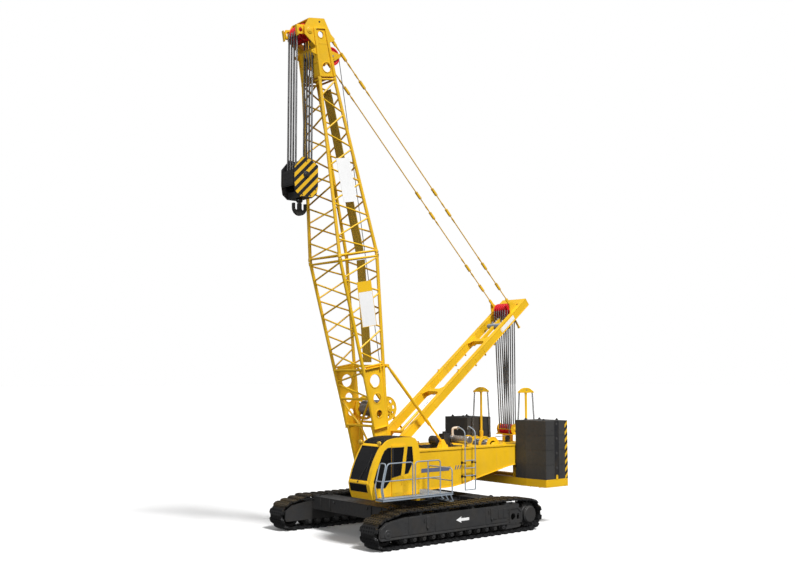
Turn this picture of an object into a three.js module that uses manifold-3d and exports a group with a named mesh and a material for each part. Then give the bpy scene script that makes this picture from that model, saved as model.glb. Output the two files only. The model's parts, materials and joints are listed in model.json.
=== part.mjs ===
// A lattice-boom crawler crane, about 20 m tall, as separate named solids.
// Millimetres. +X is the crane's front, +Y its left, +Z up. Everything is drawn about the slew axis on the
// ground, and at the end the whole crane is moved so that the bottom centre of its box is the origin.
import * as THREE from "three";
import { mergeVertices } from "three/addons/utils/BufferGeometryUtils.js";
import Module from "manifold-3d";

const wasm = await Module();
wasm.setup();

// ---------------------------------------------------------------- driving dimensions
const GAP = 0.3; // between pieces that touch
const RUNNING = 6; // between pieces that move past each other
const SIDES = [["left", 1], ["right", -1]];

// Tracks
const GAUGE = 5900; // centre to centre
const SHOE_WIDTH = 990;
const SHOES = 50;
const BAND = 110; // shoe and link together
const GROUSER = 28;
const SPROCKET_X = -3735;
const REAR_RADIUS = 620; // over the shoes
const IDLER_X = 3500;
const FRONT_RADIUS = 570; // over the shoes
const TOP_RUN = { front: 2750, rear: -2900, height: 1320, radius: 150 };

// Track frames
const FRAME_PLATE = 50;
const FRAME_HALF = 430; // from the track's middle to a side plate's outer face
const FRAME_BOTTOM = 370;
const FRAME_TOP = 1105;
const FRAME_REAR = -2450;
const CORE_BOTTOM = 500;
const CORE_FRONT = 2800;
const ROLLERS = 12;
const ROLLER_RADIUS = 190;

// Carbody and slew ring
const BEAM = {
  front: [1750, 2600], rear: [-2750, -1900], bottom: 800, top: 1270, end: 1090,
  half: (GAUGE - SHOE_WIDTH) / 2 - 35, // short of the shoes
};
const CARBODY_HALF = 1150;
const RING_RADIUS = 1150;
const RING_TOP = 1555;

// Revolving frame and deck
const DECK_HALF = 1587;
const BAY_HALF = 910; // half of the middle bay between the side housings
const DECK_FRONT = 1100;
const DECK_REAR = -4780;
const DECK_TOP = 3205;
const DECK_PLATE = 45;
const DECK_OVERHANG = 30;
const BAY_TOP = 3150;
const BASE_TOP = 1645; // of the round base on the slew ring
const UNDERSIDE = [[DECK_FRONT, 1660], [-1240, 1720], [-1920, 1810], [-2520, 1950], [-4330, 2320]];
const TAIL = { rear: -6300, half: 1420, bottom: 2380, top: 3200 };

// Boom: u is forward of its middle plane, s is along it from the foot pins
const BOOM_FOOT = { x: 1407, z: 1848 };
const BOOM_ANGLE = 79.77;
const PLATE_LOW = { s: 2327, width: 1792, depth: 683 };
const PLATE_HIGH = { s: 4583, width: 1920, depth: 1055 };
const JOINT = { s: 8895, width: 2023, depth: 1863 };
const HEAD_BASE = { s: 15789, width: 1176, depth: 765 };
const HEAD_TOP = 18010;
const CHORD = 66; // radius
const LACING = 34; // radius
const LACING_GAP = 48; // from a node to each of the two bars that meet there
const BASE_BAYS = 6;
const TOP_BAYS = 10;
const SECTION_END = 105; // from the joint's middle to the last cross frame of each section
const FOOT_EYE = { inner: 700, outer: 830, radius: 150 };
const FOOT_PIN = 60;
const CHORD_INSET = 40; // from the section's outer size to a chord's middle
const SIDE_PLATE_Y = 880;
const PLATE_HOLES = [[0, 4090, 250], [10, 3420, 185], [10, 2830, 140]];
const CORNERS = [[1, 1], [-1, 1], [-1, -1], [1, -1]]; // side, face
const FACES = CORNERS.map((corner, i) => [corner, CORNERS[(i + 1) % CORNERS.length]]);
const BRACES = { foot: 450, low: 2400, middle: 3450 }; // stations of the cross tubes below the lattice
const SIGN = [[10950, 12640], [-350, 280]]; // its stations, then its rear and front edges
const NOTICE = [[6170, 7900], [-400, 290]];
const HEAD_FACE = { u: 1040, half: 60, s: [17350, 17760] };

// Boom head sheaves, and the falls that hang from them
const HEAD_AXLE = { u: 530, s: 17530 };
const SHEAVE_RADIUS = 340;
const SHEAVE_PITCH = 175;
const SHEAVE_HALF = 32; // half of a rope wheel's thickness
const FALL_SHEAVES = 4;
const ROPE = 14; // radius
const GUIDE = { u: -780, s: 16720, radius: 365 };
const HOIST_DRUM = { u: -550, s: 2900, flange: 480, barrel: 320, half: 700, ear: 790 };

// Mast: c is above its middle line, t is along it from the foot pins
const MAST_FOOT = { x: 950, z: 3240 };
const MAST_ANGLE = 38.9; // above level, leaning back
const MAST_LENGTH = 9670;
const LEG = { inner: 520, outer: 700, depth: 340 };
const MAST_PIN = { c: 469, t: 8860 };
const LUFF_AXLE = { c: 147, t: 8840, radius: 320 };
const MAST_TIES = [3460, 6830];

// Pendants
const BOOM_PIN = { u: -500, s: 17250 };
const PENDANT_Y = 505;
const PENDANT = 24; // radius
const LINKS = [0.06, 0.155, 0.545, 0.625, 0.84, 0.925]; // shares of a pendant's length, at its connectors

// Counterweight
const TRAY = { bottom: 1517, top: 1831 };
const STACK = { front: -4937, chamfer: -5051, rear: -6382, inner: 1460, bend: 2029, outer: 3042 };
const SLABS = 4;
const SLAB = 597.5;
const SEAM = 14;
const POST = { x: -5700, y: 1360, radius: 55, foot: 95, neck: 3620, head: 5330, cap: { half: 450, rise: 220 } };

// Pieces on the deck
const STEP_X = 500; // in front of it the bay is lower, under the mast's foot
const STEP_TOP = 2600;
const MAST_PIN_RADIUS = 50;
const MAST_EYE = { inner: 540, outer: 680 };
const LOWER_SHEAVES = { x: -5970, z: 3740, radius: 200, half: 420 };
const LUFF_SHEAVES = 6;
const LUFF_PITCH = 125;
const LUFF_HALF = 450;
const WINCH_AXIS = { x: -4300, z: 3140 };
const WINCH_FLANGE = 360;
const WINCH_WELL = [-4740, -3860];
const WELL_HALF = 800;
const ENGINE = { x: [-2900, -900], half: 520, bottom: 2500, top: 3180 };
const AIR_CLEANER = { x: -1200, y: 560, z: 3480, radius: 185, length: 420 };
const INTAKE = { x: [-2150, -1790], y: [150, 450], top: 3700, cap: 90 };
const SILENCER = { x: -2350, y: [100, 1400], z: 3470, radius: 160, pipe: { y: 370, radius: 50, top: 3950 } };
const BACKSTOP = { y: 985, radius: 62, top: [1588, 6453], foot: [-1170, 3470], seat: 90 };
const LADDER = { x: [-2310, -1750], y: 1750, bottom: 1550, top: 3850, rungs: 5 };
const RAIL = 20; // radius
const RAIL_TOP = 2980;
const RAIL_MIDDLE = 2370;

// Cab
const CAB_FLOOR = 1690;
const CAB_REAR = 1440;
const CAB_RIGHT = 1440;
const CAB_LEFT = 2690;
const CAB_WALL = 50;
const CAB_OUTLINE = [
  [CAB_REAR, CAB_FLOOR], [3620, CAB_FLOOR], [3720, 1960], [3780, 2220], [3735, 2400], [3640, 2700], [3500, 3020],
  [3350, 3290], [3200, 3530], [3130, 3625], [3040, 3700], [2920, 3760], [2750, 3800], [2500, 3828], [2150, 3836],
  [1760, 3822], [1640, 3770], [1530, 3630], [1470, 3430], [CAB_REAR - 20, 3140],
];
const ROOF_SEAM = 3565;
const ROOF_PANE = { x: [1640, 3140], y: [1500, 2630], low: 3595 };
const SCREEN_FRAME = { right: 80, left: 180 };
const UPPER_SCREEN = { z: [2360, 3525] };
const LOWER_SCREEN = { z: [1940, 2230] };
const REAR_SCREEN = { y: [1650, 2480], z: [2500, 3080] };
const FRONT_SIDE_WINDOW = [
  [2800, 3495], [2800, 2350], [2860, 2300], [3060, 2072], [3445, 2080], [3590, 2325], [3500, 2575], [3320, 2990],
  [3225, 3200], [3110, 3390], [2940, 3495],
];
const REAR_SIDE_WINDOW = [[2020, 3500], [1800, 3490], [1745, 2960], [1985, 2530], [2165, 2505]];
const RIGHT_WINDOW = [
  [1800, 3490], [2940, 3495], [3110, 3390], [3320, 2990], [3590, 2325], [3445, 2080], [3060, 2072], [2740, 2380],
  [1985, 2530], [1745, 2960],
];
const DOOR_BOTTOM = 1790;
const DOOR_OUTLINE = [[2130, 3560], [2290, 2490], [2290, DOOR_BOTTOM], [2780, DOOR_BOTTOM], [2780, 3560]];
const DOOR_WINDOW = [[2215, 3493], [2370, 2490], [2740, 2425], [2740, 3493]];
const DOOR_REAR_END = 1560;
const DOOR_FRONT_END = 3350;
const DOOR_THICK = 40;
const PANE = 8;
const CROSS_BEAM = { front: 1500, end: 2590, z: [1500, CAB_FLOOR - GAP] };
const SEAT = { x: 2350, y: 2060 };
const WALK_EDGE = 3200;
const WALK = { front: 3580, rear: 230, bottom: 1700, top: 1750 };
const RAIL_POSTS = { front: [2890, 2180], rear: [2060, 1450, 850] };
const STEPS = { behind: 300, run: 330, bottom: 1475, width: 420 };

// Hook block
const BLOCK = { axle: 13520, half: 530, inside: 400, plate: 50, bottom: 12660, top: 14180 };
const HOOK = { shank: 70, neck: 12560, eye: 12330, outer: 300, half: 60, bowl: { x: 145, radius: 75 }, horn: 60 };

// ---------------------------------------------------------------- shapes
const FROM_AXIS = {
  x: new THREE.Matrix4().makeBasis(vec(0, 1, 0), vec(0, 0, 1), vec(1, 0, 0)),
  y: new THREE.Matrix4().makeBasis(vec(1, 0, 0), vec(0, 0, 1), vec(0, -1, 0)),
  z: new THREE.Matrix4(),
};

function vec(x, y, z) {
  return new THREE.Vector3(x, y, z);
}

function rad(degrees) {
  return THREE.MathUtils.degToRad(degrees);
}

function solidOf(geometry) {
  const bare = geometry.index ? geometry.toNonIndexed() : geometry.clone();
  bare.deleteAttribute("normal");
  bare.deleteAttribute("uv");
  const merged = mergeVertices(bare, 1e-3);
  const triVerts = new Uint32Array(merged.index.array);
  return new wasm.Manifold(
    new wasm.Mesh({ numProp: 3, vertProperties: merged.attributes.position.array, triVerts }),
  );
}

function box([x0, x1], [y0, y1], [z0, z1]) {
  const geometry = new THREE.BoxGeometry(x1 - x0, y1 - y0, z1 - z0);
  geometry.translate((x0 + x1) / 2, (y0 + y1) / 2, (z0 + z1) / 2);
  return solidOf(geometry);
}

// An outline with round holes, extruded along an axis. Its points are [y, z] for x, [x, z] for y, [x, y] for z.
function prism(axis, points, [from, to], holes = []) {
  const shape = new THREE.Shape(points.map(([a, b]) => new THREE.Vector2(a, b)));
  for (const [a, b, radius] of holes) {
    shape.holes.push(new THREE.Path().absarc(a, b, radius, 0, 2 * Math.PI));
  }
  const settings = { depth: to - from, bevelEnabled: false, curveSegments: 6 };
  const geometry = new THREE.ExtrudeGeometry(shape, settings);
  if (axis === "y") geometry.translate(0, 0, -to);
  else geometry.translate(0, 0, from);
  return solidOf(geometry.applyMatrix4(FROM_AXIS[axis]));
}

// A round bar from one point to another. One of its corners can be turned towards a direction.
function rod(from, to, radius, sides = 8, corner = vec(0.6, 0.5, 0.7)) {
  const along = to.clone().sub(from);
  const geometry = new THREE.CylinderGeometry(radius, radius, along.length(), sides);
  const up = along.clone().normalize();
  const side = up.clone().cross(corner).normalize();
  geometry.applyMatrix4(new THREE.Matrix4().makeBasis(side, up, side.clone().cross(up)));
  const middle = from.clone().add(to).multiplyScalar(0.5);
  return solidOf(geometry.translate(middle.x, middle.y, middle.z));
}

// A disc about a line parallel to Y. A turn puts one of its corners where something touches it.
function disc([x, z], radius, [from, to], sides = 24, turn = 0) {
  const geometry = new THREE.CylinderGeometry(radius, radius, to - from, sides);
  geometry.rotateY(Math.PI / 2 + turn);
  return solidOf(geometry.translate(x, (from + to) / 2, z));
}

function upright([x, y], radius, [from, to], sides = 24) {
  const geometry = new THREE.CylinderGeometry(radius, radius, to - from, sides);
  geometry.rotateX(Math.PI / 2);
  return solidOf(geometry.translate(x, y, (from + to) / 2));
}

// A flat bar between two points of the XZ plane, with round ends.
function link([x0, z0], [x1, z1], half, [from, to]) {
  const turn = Math.atan2(z1 - z0, x1 - x0);
  const points = [];
  for (let i = -1; i <= 1; i++) points.push(onCircle(x1, z1, half, turn + (i * Math.PI) / 3));
  for (let i = 2; i <= 4; i++) points.push(onCircle(x0, z0, half, turn + (i * Math.PI) / 3));
  return prism("y", points, [from, to]);
}

function onCircle(x, z, radius, angle) {
  return [x + radius * Math.cos(angle), z + radius * Math.sin(angle)];
}

function join(...solids) {
  return solids.flat(Infinity).reduce((whole, solid) => whole.add(solid));
}

// The same span of y on a side: left keeps it, right mirrors it.
function onSide(side, from, to) {
  return side > 0 ? [from, to] : [-to, -from];
}

const PAINT = {
  yellow: new THREE.MeshStandardMaterial({ color: 0xf5b81c, roughness: 0.45, metalness: 0.1 }),
  black: new THREE.MeshStandardMaterial({ color: 0x232323, roughness: 0.6, metalness: 0.3 }),
  grey: new THREE.MeshStandardMaterial({ color: 0x3b3a39, roughness: 0.8, metalness: 0.1 }),
  rail: new THREE.MeshStandardMaterial({ color: 0x8a97a6, roughness: 0.5, metalness: 0.4 }),
  red: new THREE.MeshStandardMaterial({ color: 0xb3161b, roughness: 0.5, metalness: 0.1 }),
  steel: new THREE.MeshStandardMaterial({ color: 0x9a9a9a, roughness: 0.4, metalness: 0.8 }),
  glass: new THREE.MeshStandardMaterial({ color: 0x1c1e20, roughness: 0.1, metalness: 0.0 }),
  white: new THREE.MeshStandardMaterial({ color: 0xf2f2f0, roughness: 0.5, metalness: 0.0 }),
  trim: new THREE.MeshStandardMaterial({ color: 0x2b2b2d, roughness: 0.9, metalness: 0.0 }),
};

function part(name, solid, material) {
  const { vertProperties, triVerts } = solid.getMesh();
  const geometry = new THREE.BufferGeometry();
  geometry.setAttribute("position", new THREE.BufferAttribute(vertProperties, 3));
  geometry.setIndex(new THREE.BufferAttribute(triVerts, 1));
  geometry.computeVertexNormals();
  const mesh = new THREE.Mesh(geometry, material);
  mesh.name = name;
  return mesh;
}

// ---------------------------------------------------------------- tracks
// The belt round the sprocket, the idler and the top run, grown by an offset, as a convex outline.
function belt(offset, step) {
  const { front, rear, height, radius } = TOP_RUN;
  const circles = [
    [SPROCKET_X, REAR_RADIUS, REAR_RADIUS],
    [IDLER_X, FRONT_RADIUS, FRONT_RADIUS],
    [front, height - radius, radius],
    [rear, height - radius, radius],
  ];
  const points = [];
  for (const [x, z, r] of circles) {
    for (let angle = 0; angle < 360; angle += step) points.push(onCircle(x, z, r + offset, rad(angle)));
  }
  return convex(points);
}

// Andrew's monotone chain, counterclockwise.
function convex(points) {
  const sorted = [...points].sort((a, b) => a[0] - b[0] || a[1] - b[1]);
  const half = (list) => {
    const chain = [];
    for (const point of list) {
      while (chain.length > 1 && turnOf(chain.at(-2), chain.at(-1), point) <= 0) chain.pop();
      chain.push(point);
    }
    chain.pop();
    return chain;
  };
  return [...half(sorted), ...half(sorted.reverse())];
}

function turnOf([ax, az], [bx, bz], [cx, cz]) {
  return (bx - ax) * (cz - az) - (bz - az) * (cx - ax);
}

// The outline of the shoes: each has a raised bar over most of its pitch.
function shoes() {
  const path = belt(-GROUSER, 3);
  const lengths = path.map((point, i) => Math.hypot(...minus(path[(i + 1) % path.length], point)));
  const total = lengths.reduce((a, b) => a + b, 0);
  const at = (distance, lift) => {
    let left = distance % total;
    let i = 0;
    while (left > lengths[i]) {
      left -= lengths[i];
      i += 1;
    }
    const [dx, dz] = minus(path[(i + 1) % path.length], path[i]).map((d) => d / lengths[i]);
    return [path[i][0] + dx * left + dz * lift, path[i][1] + dz * left - dx * lift];
  };
  const pitch = total / SHOES;
  const outline = [];
  for (let i = 0; i < SHOES; i++) {
    outline.push(at((i + 0.05) * pitch, 0), at((i + 0.12) * pitch, GROUSER));
    outline.push(at((i + 0.78) * pitch, GROUSER), at((i + 0.85) * pitch, 0));
  }
  return outline;
}

function minus([ax, az], [bx, bz]) {
  return [ax - bx, az - bz];
}

function track(name, y) {
  const span = [y - SHOE_WIDTH / 2, y + SHOE_WIDTH / 2];
  const inside = prism("y", belt(-BAND, 15), [span[0] - 1, span[1] + 1]);
  return part(name, prism("y", shoes(), span).subtract(inside), PAINT.black);
}

function trackFrame(name, y) {
  // Round the idler's front.
  const nose = [[340, FRAME_BOTTOM], [390, 480], [380, 780], [60, 985]].map(([x, z]) => [IDLER_X + x, z]);
  const side = [
    [FRAME_REAR, FRAME_BOTTOM], ...nose, [CORE_FRONT, FRAME_TOP - 25], [1700, FRAME_TOP], [FRAME_REAR, FRAME_TOP],
  ];
  const plate = (offset) => prism("y", side, [y + offset, y + offset + FRAME_PLATE]);
  const core = box([FRAME_REAR, CORE_FRONT], [y - FRAME_HALF, y + FRAME_HALF], [CORE_BOTTOM, 1080]);
  const carrierHeight = TOP_RUN.height - BAND - GAP - FRAME_TOP;
  const carriers = [-2000, -700, 600, 1900].map((x) => {
    const foot = [x - 160, x + 160];
    return box(foot, [y - 250, y + 250], [1000, FRAME_TOP + carrierHeight]);
  });
  return part(name, join(plate(-FRAME_HALF), plate(FRAME_HALF - FRAME_PLATE), core, carriers), PAINT.black);
}

function bottomRollers(name, y) {
  const half = FRAME_HALF - FRAME_PLATE - GAP;
  const centre = BAND + GAP + ROLLER_RADIUS;
  const rollers = [];
  for (let i = 0; i < ROLLERS; i++) {
    const x = THREE.MathUtils.lerp(FRAME_REAR + 220, IDLER_X - 800, i / (ROLLERS - 1));
    rollers.push(disc([x, centre], ROLLER_RADIUS, [y - half, y + half], 8, Math.PI / 8));
  }
  const bar = box([FRAME_REAR + 220, IDLER_X - 800], [y - 60, y + 60], [centre - 50, centre + 50]);
  return part(name, join(rollers, bar), PAINT.black);
}

function idler(name, y) {
  const half = FRAME_HALF - FRAME_PLATE - GAP;
  const centre = [IDLER_X, FRONT_RADIUS];
  const wheel = disc(centre, FRONT_RADIUS - BAND - 12, [y - 180, y + 180], 24);
  return part(name, join(wheel, disc(centre, 90, [y - half, y + half], 12)), PAINT.black);
}

function travelDrive(name, y, side) {
  const centre = [SPROCKET_X, REAR_RADIUS];
  const radius = REAR_RADIUS - BAND - 12;
  const teeth = [];
  for (let i = 0; i < 20; i++) {
    teeth.push(onCircle(...centre, i % 2 ? radius : radius - 60, rad(18 * i)));
  }
  const ring = (offset) => prism("y", teeth, [y + offset - 55, y + offset + 55]);
  const hub = disc(centre, 340, [y - FRAME_HALF, y + FRAME_HALF]);
  const gearbox = box([SPROCKET_X, FRAME_REAR - GAP], [y - 160, y + 160], [470, 880]);
  const motor = disc([SPROCKET_X + 760, 720], 170, onSide(side, GAUGE / 2 - 100, GAUGE / 2 + 330), 12);
  return part(name, join(ring(-210), ring(210), hub, gearbox, motor), PAINT.black);
}

function carbody() {
  const half = GAUGE / 2 - FRAME_HALF - GAP;
  const beam = (span) => join(
    box(span, [-BEAM.half, BEAM.half], [BEAM.bottom, BEAM.top]),
    box(span, [-half, half], [BEAM.bottom, BEAM.end]),
  );
  const middle = box([BEAM.rear[0] + 100, BEAM.front[1] - 100], [-CARBODY_HALF, CARBODY_HALF], [750, BEAM.top - 30]);
  const ring = upright([0, 0], RING_RADIUS + 60, [BEAM.top - 100, BEAM.top]);
  return part("carbody", join(beam(BEAM.front), beam(BEAM.rear), middle, ring), PAINT.black);
}

function slewRing() {
  const lower = upright([0, 0], RING_RADIUS, [BEAM.top + GAP, RING_TOP - 90], 32);
  const upper = upright([0, 0], RING_RADIUS - 60, [RING_TOP - 100, RING_TOP], 32);
  return part("slew_ring", join(lower, upper), PAINT.black);
}

// ---------------------------------------------------------------- revolving frame
// Two cheeks on each side of an eye, with the pin through them.
function lugs([x, z], pin, [inner, outer], cheek, outline) {
  return SIDES.flatMap(([, side]) => [
    prism("y", outline, onSide(side, inner - GAP - cheek, inner - GAP)),
    prism("y", outline, onSide(side, outer + GAP, outer + GAP + cheek)),
    disc([x, z], pin, onSide(side, inner - cheek, outer + cheek), 16),
  ]);
}

function arc(x, z, radius, from, to, step = 15) {
  const points = [];
  for (let angle = from; angle <= to; angle += step) points.push(onCircle(x, z, radius, rad(angle)));
  return points;
}

function bootLugs() {
  const { x, z } = BOOM_FOOT;
  const nose = convex([[DECK_FRONT - 50, 1690], [DECK_FRONT - 50, 2300], ...arc(x, z, 190, -90, 90)]);
  return lugs([x, z], FOOT_PIN, [FOOT_EYE.inner, FOOT_EYE.outer], 70, nose);
}

function mastLugs() {
  const { x, z } = MAST_FOOT;
  const ear = convex([[x - 260, STEP_TOP - 40], [x + 140, STEP_TOP - 40], ...arc(x, z, 150, 0, 180)]);
  return lugs([x, z], MAST_PIN_RADIUS, [MAST_EYE.inner, MAST_EYE.outer], 50, ear);
}

function revolvingFrame() {
  const bay = prism("y", [
    ...UNDERSIDE, [DECK_REAR, TAIL.bottom], [DECK_REAR, BAY_TOP],
    [STEP_X, BAY_TOP], [STEP_X, STEP_TOP], [DECK_FRONT, STEP_TOP],
  ], [-BAY_HALF + GAP, BAY_HALF - GAP]);
  const tail = box([TAIL.rear, DECK_REAR - GAP], [-TAIL.half, TAIL.half], [TAIL.bottom, TAIL.top]);
  const neck = box([DECK_REAR - 200, DECK_REAR + 30], [200 - BAY_HALF, BAY_HALF - 200], [TAIL.bottom, BAY_TOP]);
  const base = join(
    upright([0, 0], RING_RADIUS + 40, [RING_TOP + GAP, BASE_TOP], 32),
    box([-700, 700], [20 - BAY_HALF, BAY_HALF - 20], [BASE_TOP - 10, BASE_TOP + 120]),
  );
  const winchWell = box(WINCH_WELL, [-WELL_HALF, WELL_HALF], [WINCH_AXIS.z - WINCH_FLANGE - 30, BAY_TOP + 1]);
  const engineWell = box(ENGINE.x, [-ENGINE.half - 60, ENGINE.half + 60], [ENGINE.bottom, BAY_TOP + 1]);
  const crossBeam = join(
    box([DECK_FRONT - 60, CROSS_BEAM.front], [BAY_HALF - 200, BAY_HALF - GAP], CROSS_BEAM.z),
    box([DECK_FRONT + GAP, CROSS_BEAM.front], [BAY_HALF - 200, CROSS_BEAM.end], CROSS_BEAM.z),
  );
  const cabBeam = box([DECK_FRONT + 100, 2900], [1900, 2150], CROSS_BEAM.z);
  const body = bay.subtract(winchWell).subtract(engineWell);
  const whole = join(body, tail, neck, base, bootLugs(), mastLugs(), crossBeam, cabBeam, luffingBase());
  return part("revolving_frame", whole.subtract(winchShaftHole()), PAINT.yellow);
}

// The seat of the lower luffing sheaves, on the tail.
function luffingBase() {
  const { x, z, half } = LOWER_SHEAVES;
  const cheek = (from) => box([x - 120, x + 120], [from, from + 30], [z - 200, z + 60]);
  return [
    box([x - 150, x + 150], [-180, 180], [TAIL.top - 20, z - 240]),
    box([x - 230, x + 230], [-half - 60, half + 60], [z - 240, z - 200]),
    cheek(half + GAP),
    cheek(-half - GAP - 30),
  ];
}

function luffingSheaves() {
  const { x, z, half } = LOWER_SHEAVES;
  const wheels = [];
  for (let i = 0; i < LUFF_SHEAVES; i++) wheels.push(sheave([x, z], LOWER_SHEAVES.radius, luffSheaveY(i)));
  return part("luffing_lower_sheaves", join(wheels, disc([x, z], 50, [-half, half], 12)), PAINT.red);
}

function luffSheaveY(i) {
  return (i - (LUFF_SHEAVES - 1) / 2) * LUFF_PITCH;
}

// A rope wheel, drawn as a plain disc.
function sheave([x, z], radius, y, turn = 0, sides = 16) {
  return disc([x, z], radius, [y - SHEAVE_HALF, y + SHEAVE_HALF], sides, turn);
}

function winchShaftHole() {
  return disc([WINCH_AXIS.x, WINCH_AXIS.z], 80, [-WELL_HALF - 40, WELL_HALF + 40], 12);
}

function boomHoistWinch() {
  const centre = [WINCH_AXIS.x, WINCH_AXIS.z];
  const flanges = [-760, -265, 265, 760].map((y) => disc(centre, WINCH_FLANGE, [y - 20, y + 20], 20));
  const barrel = disc(centre, 240, [-760, 760], 12);
  const shaft = disc(centre, 80 - GAP - 1, [-WELL_HALF - 40 + GAP, WELL_HALF + 40 - GAP], 12);
  return part("boom_hoist_winch", join(flanges, barrel, shaft), PAINT.yellow);
}

function engine() {
  const { x, half, bottom, top } = ENGINE;
  const block = box([x[0] + 80, x[1] - 80], [-half, half], [bottom + GAP, top]);
  const intake = box(INTAKE.x, INTAKE.y, [top - 20, INTAKE.top]);
  const middle = [(INTAKE.x[0] + INTAKE.x[1]) / 2, (INTAKE.y[0] + INTAKE.y[1]) / 2];
  const cap = upright(middle, INTAKE.cap, [INTAKE.top - 20, INTAKE.top + INTAKE.cap], 16);
  return part("engine", join(block, intake, cap), PAINT.black);
}

function airCleaner() {
  const { x, y, z, radius, length } = AIR_CLEANER;
  const can = disc([x, z], radius, [y - length / 2, y + length / 2], 16, Math.PI / 16);
  const foot = box([x - 110, x + 110], [y - 180, ENGINE.half - 20], [ENGINE.top + GAP, z]);
  return part("air_cleaner", join(can, foot), PAINT.black);
}

function silencer() {
  const { x, y, z, radius, pipe } = SILENCER;
  const can = disc([x, z], radius, y, 20);
  const feet = [[y[0] + 120, ENGINE.top], [y[1] - 270, DECK_TOP]].map(([at, floor]) => {
    return box([x - 90, x + 90], [at - 30, at + 30], [floor + GAP, z]);
  });
  const stack = upright([x, pipe.y], pipe.radius, [z, pipe.top], 12);
  const outlet = rod(vec(x, pipe.y, pipe.top - 40), vec(x - 260, pipe.y, pipe.top + 40), pipe.radius, 12);
  return part("silencer", join(can, feet, stack, outlet), PAINT.steel);
}

function sideHousing(name, side) {
  const under = DECK_TOP - DECK_PLATE;
  const outline = [...UNDERSIDE, [DECK_REAR, TAIL.bottom], [DECK_REAR, under], [DECK_FRONT, under]];
  const body = prism("y", outline, onSide(side, BAY_HALF, DECK_HALF - DECK_OVERHANG));
  const plate = box([DECK_REAR, DECK_FRONT], onSide(side, BAY_HALF, DECK_HALF), [under - 5, DECK_TOP]);
  return part(name, join(body, plate, backstopSeat(side)), PAINT.yellow);
}

// A block whose upper face is square to the backstop that rests on it.
function backstopSeat(side) {
  const [x, z] = BACKSTOP.foot;
  const [dx, dz] = backstopAlong();
  const [seatX, seatZ] = [x - dx * GAP, z - dz * GAP];
  const points = [
    [seatX - dz * BACKSTOP.seat, seatZ + dx * BACKSTOP.seat],
    [seatX + dz * BACKSTOP.seat, seatZ - dx * BACKSTOP.seat],
    [x + 60, DECK_TOP - 20], [x - 300, DECK_TOP - 20],
  ];
  return prism("y", convex(points), onSide(side, BAY_HALF, BAY_HALF + 170));
}

function backstopAlong() {
  const [dx, dz] = minus(BACKSTOP.top, BACKSTOP.foot);
  const length = Math.hypot(dx, dz);
  return [dx / length, dz / length];
}

// ---------------------------------------------------------------- counterweight and its lifting posts
function plan(side, grow = 0) {
  const { front, chamfer, rear, inner, bend, outer } = STACK;
  const points = [
    [front + grow, inner - grow], [front + grow, bend], [chamfer + grow, outer + grow],
    [rear - grow, outer + grow], [rear - grow, inner - grow],
  ];
  return side > 0 ? points : points.map(([x, y]) => [x, -y]).reverse();
}

function counterweight(name, side) {
  const bottom = TRAY.top + GAP;
  const core = prism("z", plan(side, -SEAM), [bottom, bottom + SLABS * SLAB - SEAM]);
  const slabs = [];
  for (let i = 0; i < SLABS; i++) {
    slabs.push(prism("z", plan(side), [bottom + i * SLAB, bottom + (i + 1) * SLAB - SEAM]));
  }
  return part(name, join(core, slabs), PAINT.grey);
}

function counterweightTray() {
  const platforms = SIDES.map(([, side]) => prism("z", plan(side), [TRAY.bottom, TRAY.top]));
  const beam = box([STACK.front - 320, STACK.front], [-STACK.inner - 10, STACK.inner + 10], [TRAY.bottom, TRAY.top]);
  const rear = box([STACK.rear, STACK.rear + 320], [-STACK.inner - 10, STACK.inner + 10], [TRAY.bottom, TRAY.top]);
  const hangers = [-1150, 1050].map((y) => {
    return box([TAIL.rear + 100, DECK_REAR - 400], [y, y + 100], [TRAY.bottom + 100, TAIL.bottom - GAP]);
  });
  return part("counterweight_tray", join(platforms, beam, rear, hangers), PAINT.yellow);
}

function liftingPost(name, side) {
  const { x, y, radius, foot, neck, head, cap } = POST;
  const centre = [x, side * y];
  const stem = upright(centre, radius, [TAIL.top + GAP, head + 40], 12);
  const flare = upright(centre, foot, [TAIL.top + GAP, neck], 12);
  const sweep = (2 * Math.atan(cap.rise / cap.half)) / rad(1);
  const bend = cap.half / Math.sin(rad(sweep));
  const dome = convex(arc(x, head + cap.rise - bend, bend, 90 - sweep, 90 + sweep, sweep / 5));
  return part(name, join(stem, flare, prism("y", dome, [side * y - 60, side * y + 60])), PAINT.yellow);
}

// ---------------------------------------------------------------- walkway, rails, ladder and steps
function railing(points, height, middle) {
  const bars = [];
  const raise = (point, z) => vec(point[0], point[1], z);
  points.forEach((point, i) => {
    bars.push(rod(raise(point, WALK.top - 20), raise(point, height + 8), RAIL, 4));
    if (i === 0) return;
    for (const z of [height, middle]) bars.push(rod(raise(points[i - 1], z), raise(point, z), RAIL, 4));
  });
  return bars;
}

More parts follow.
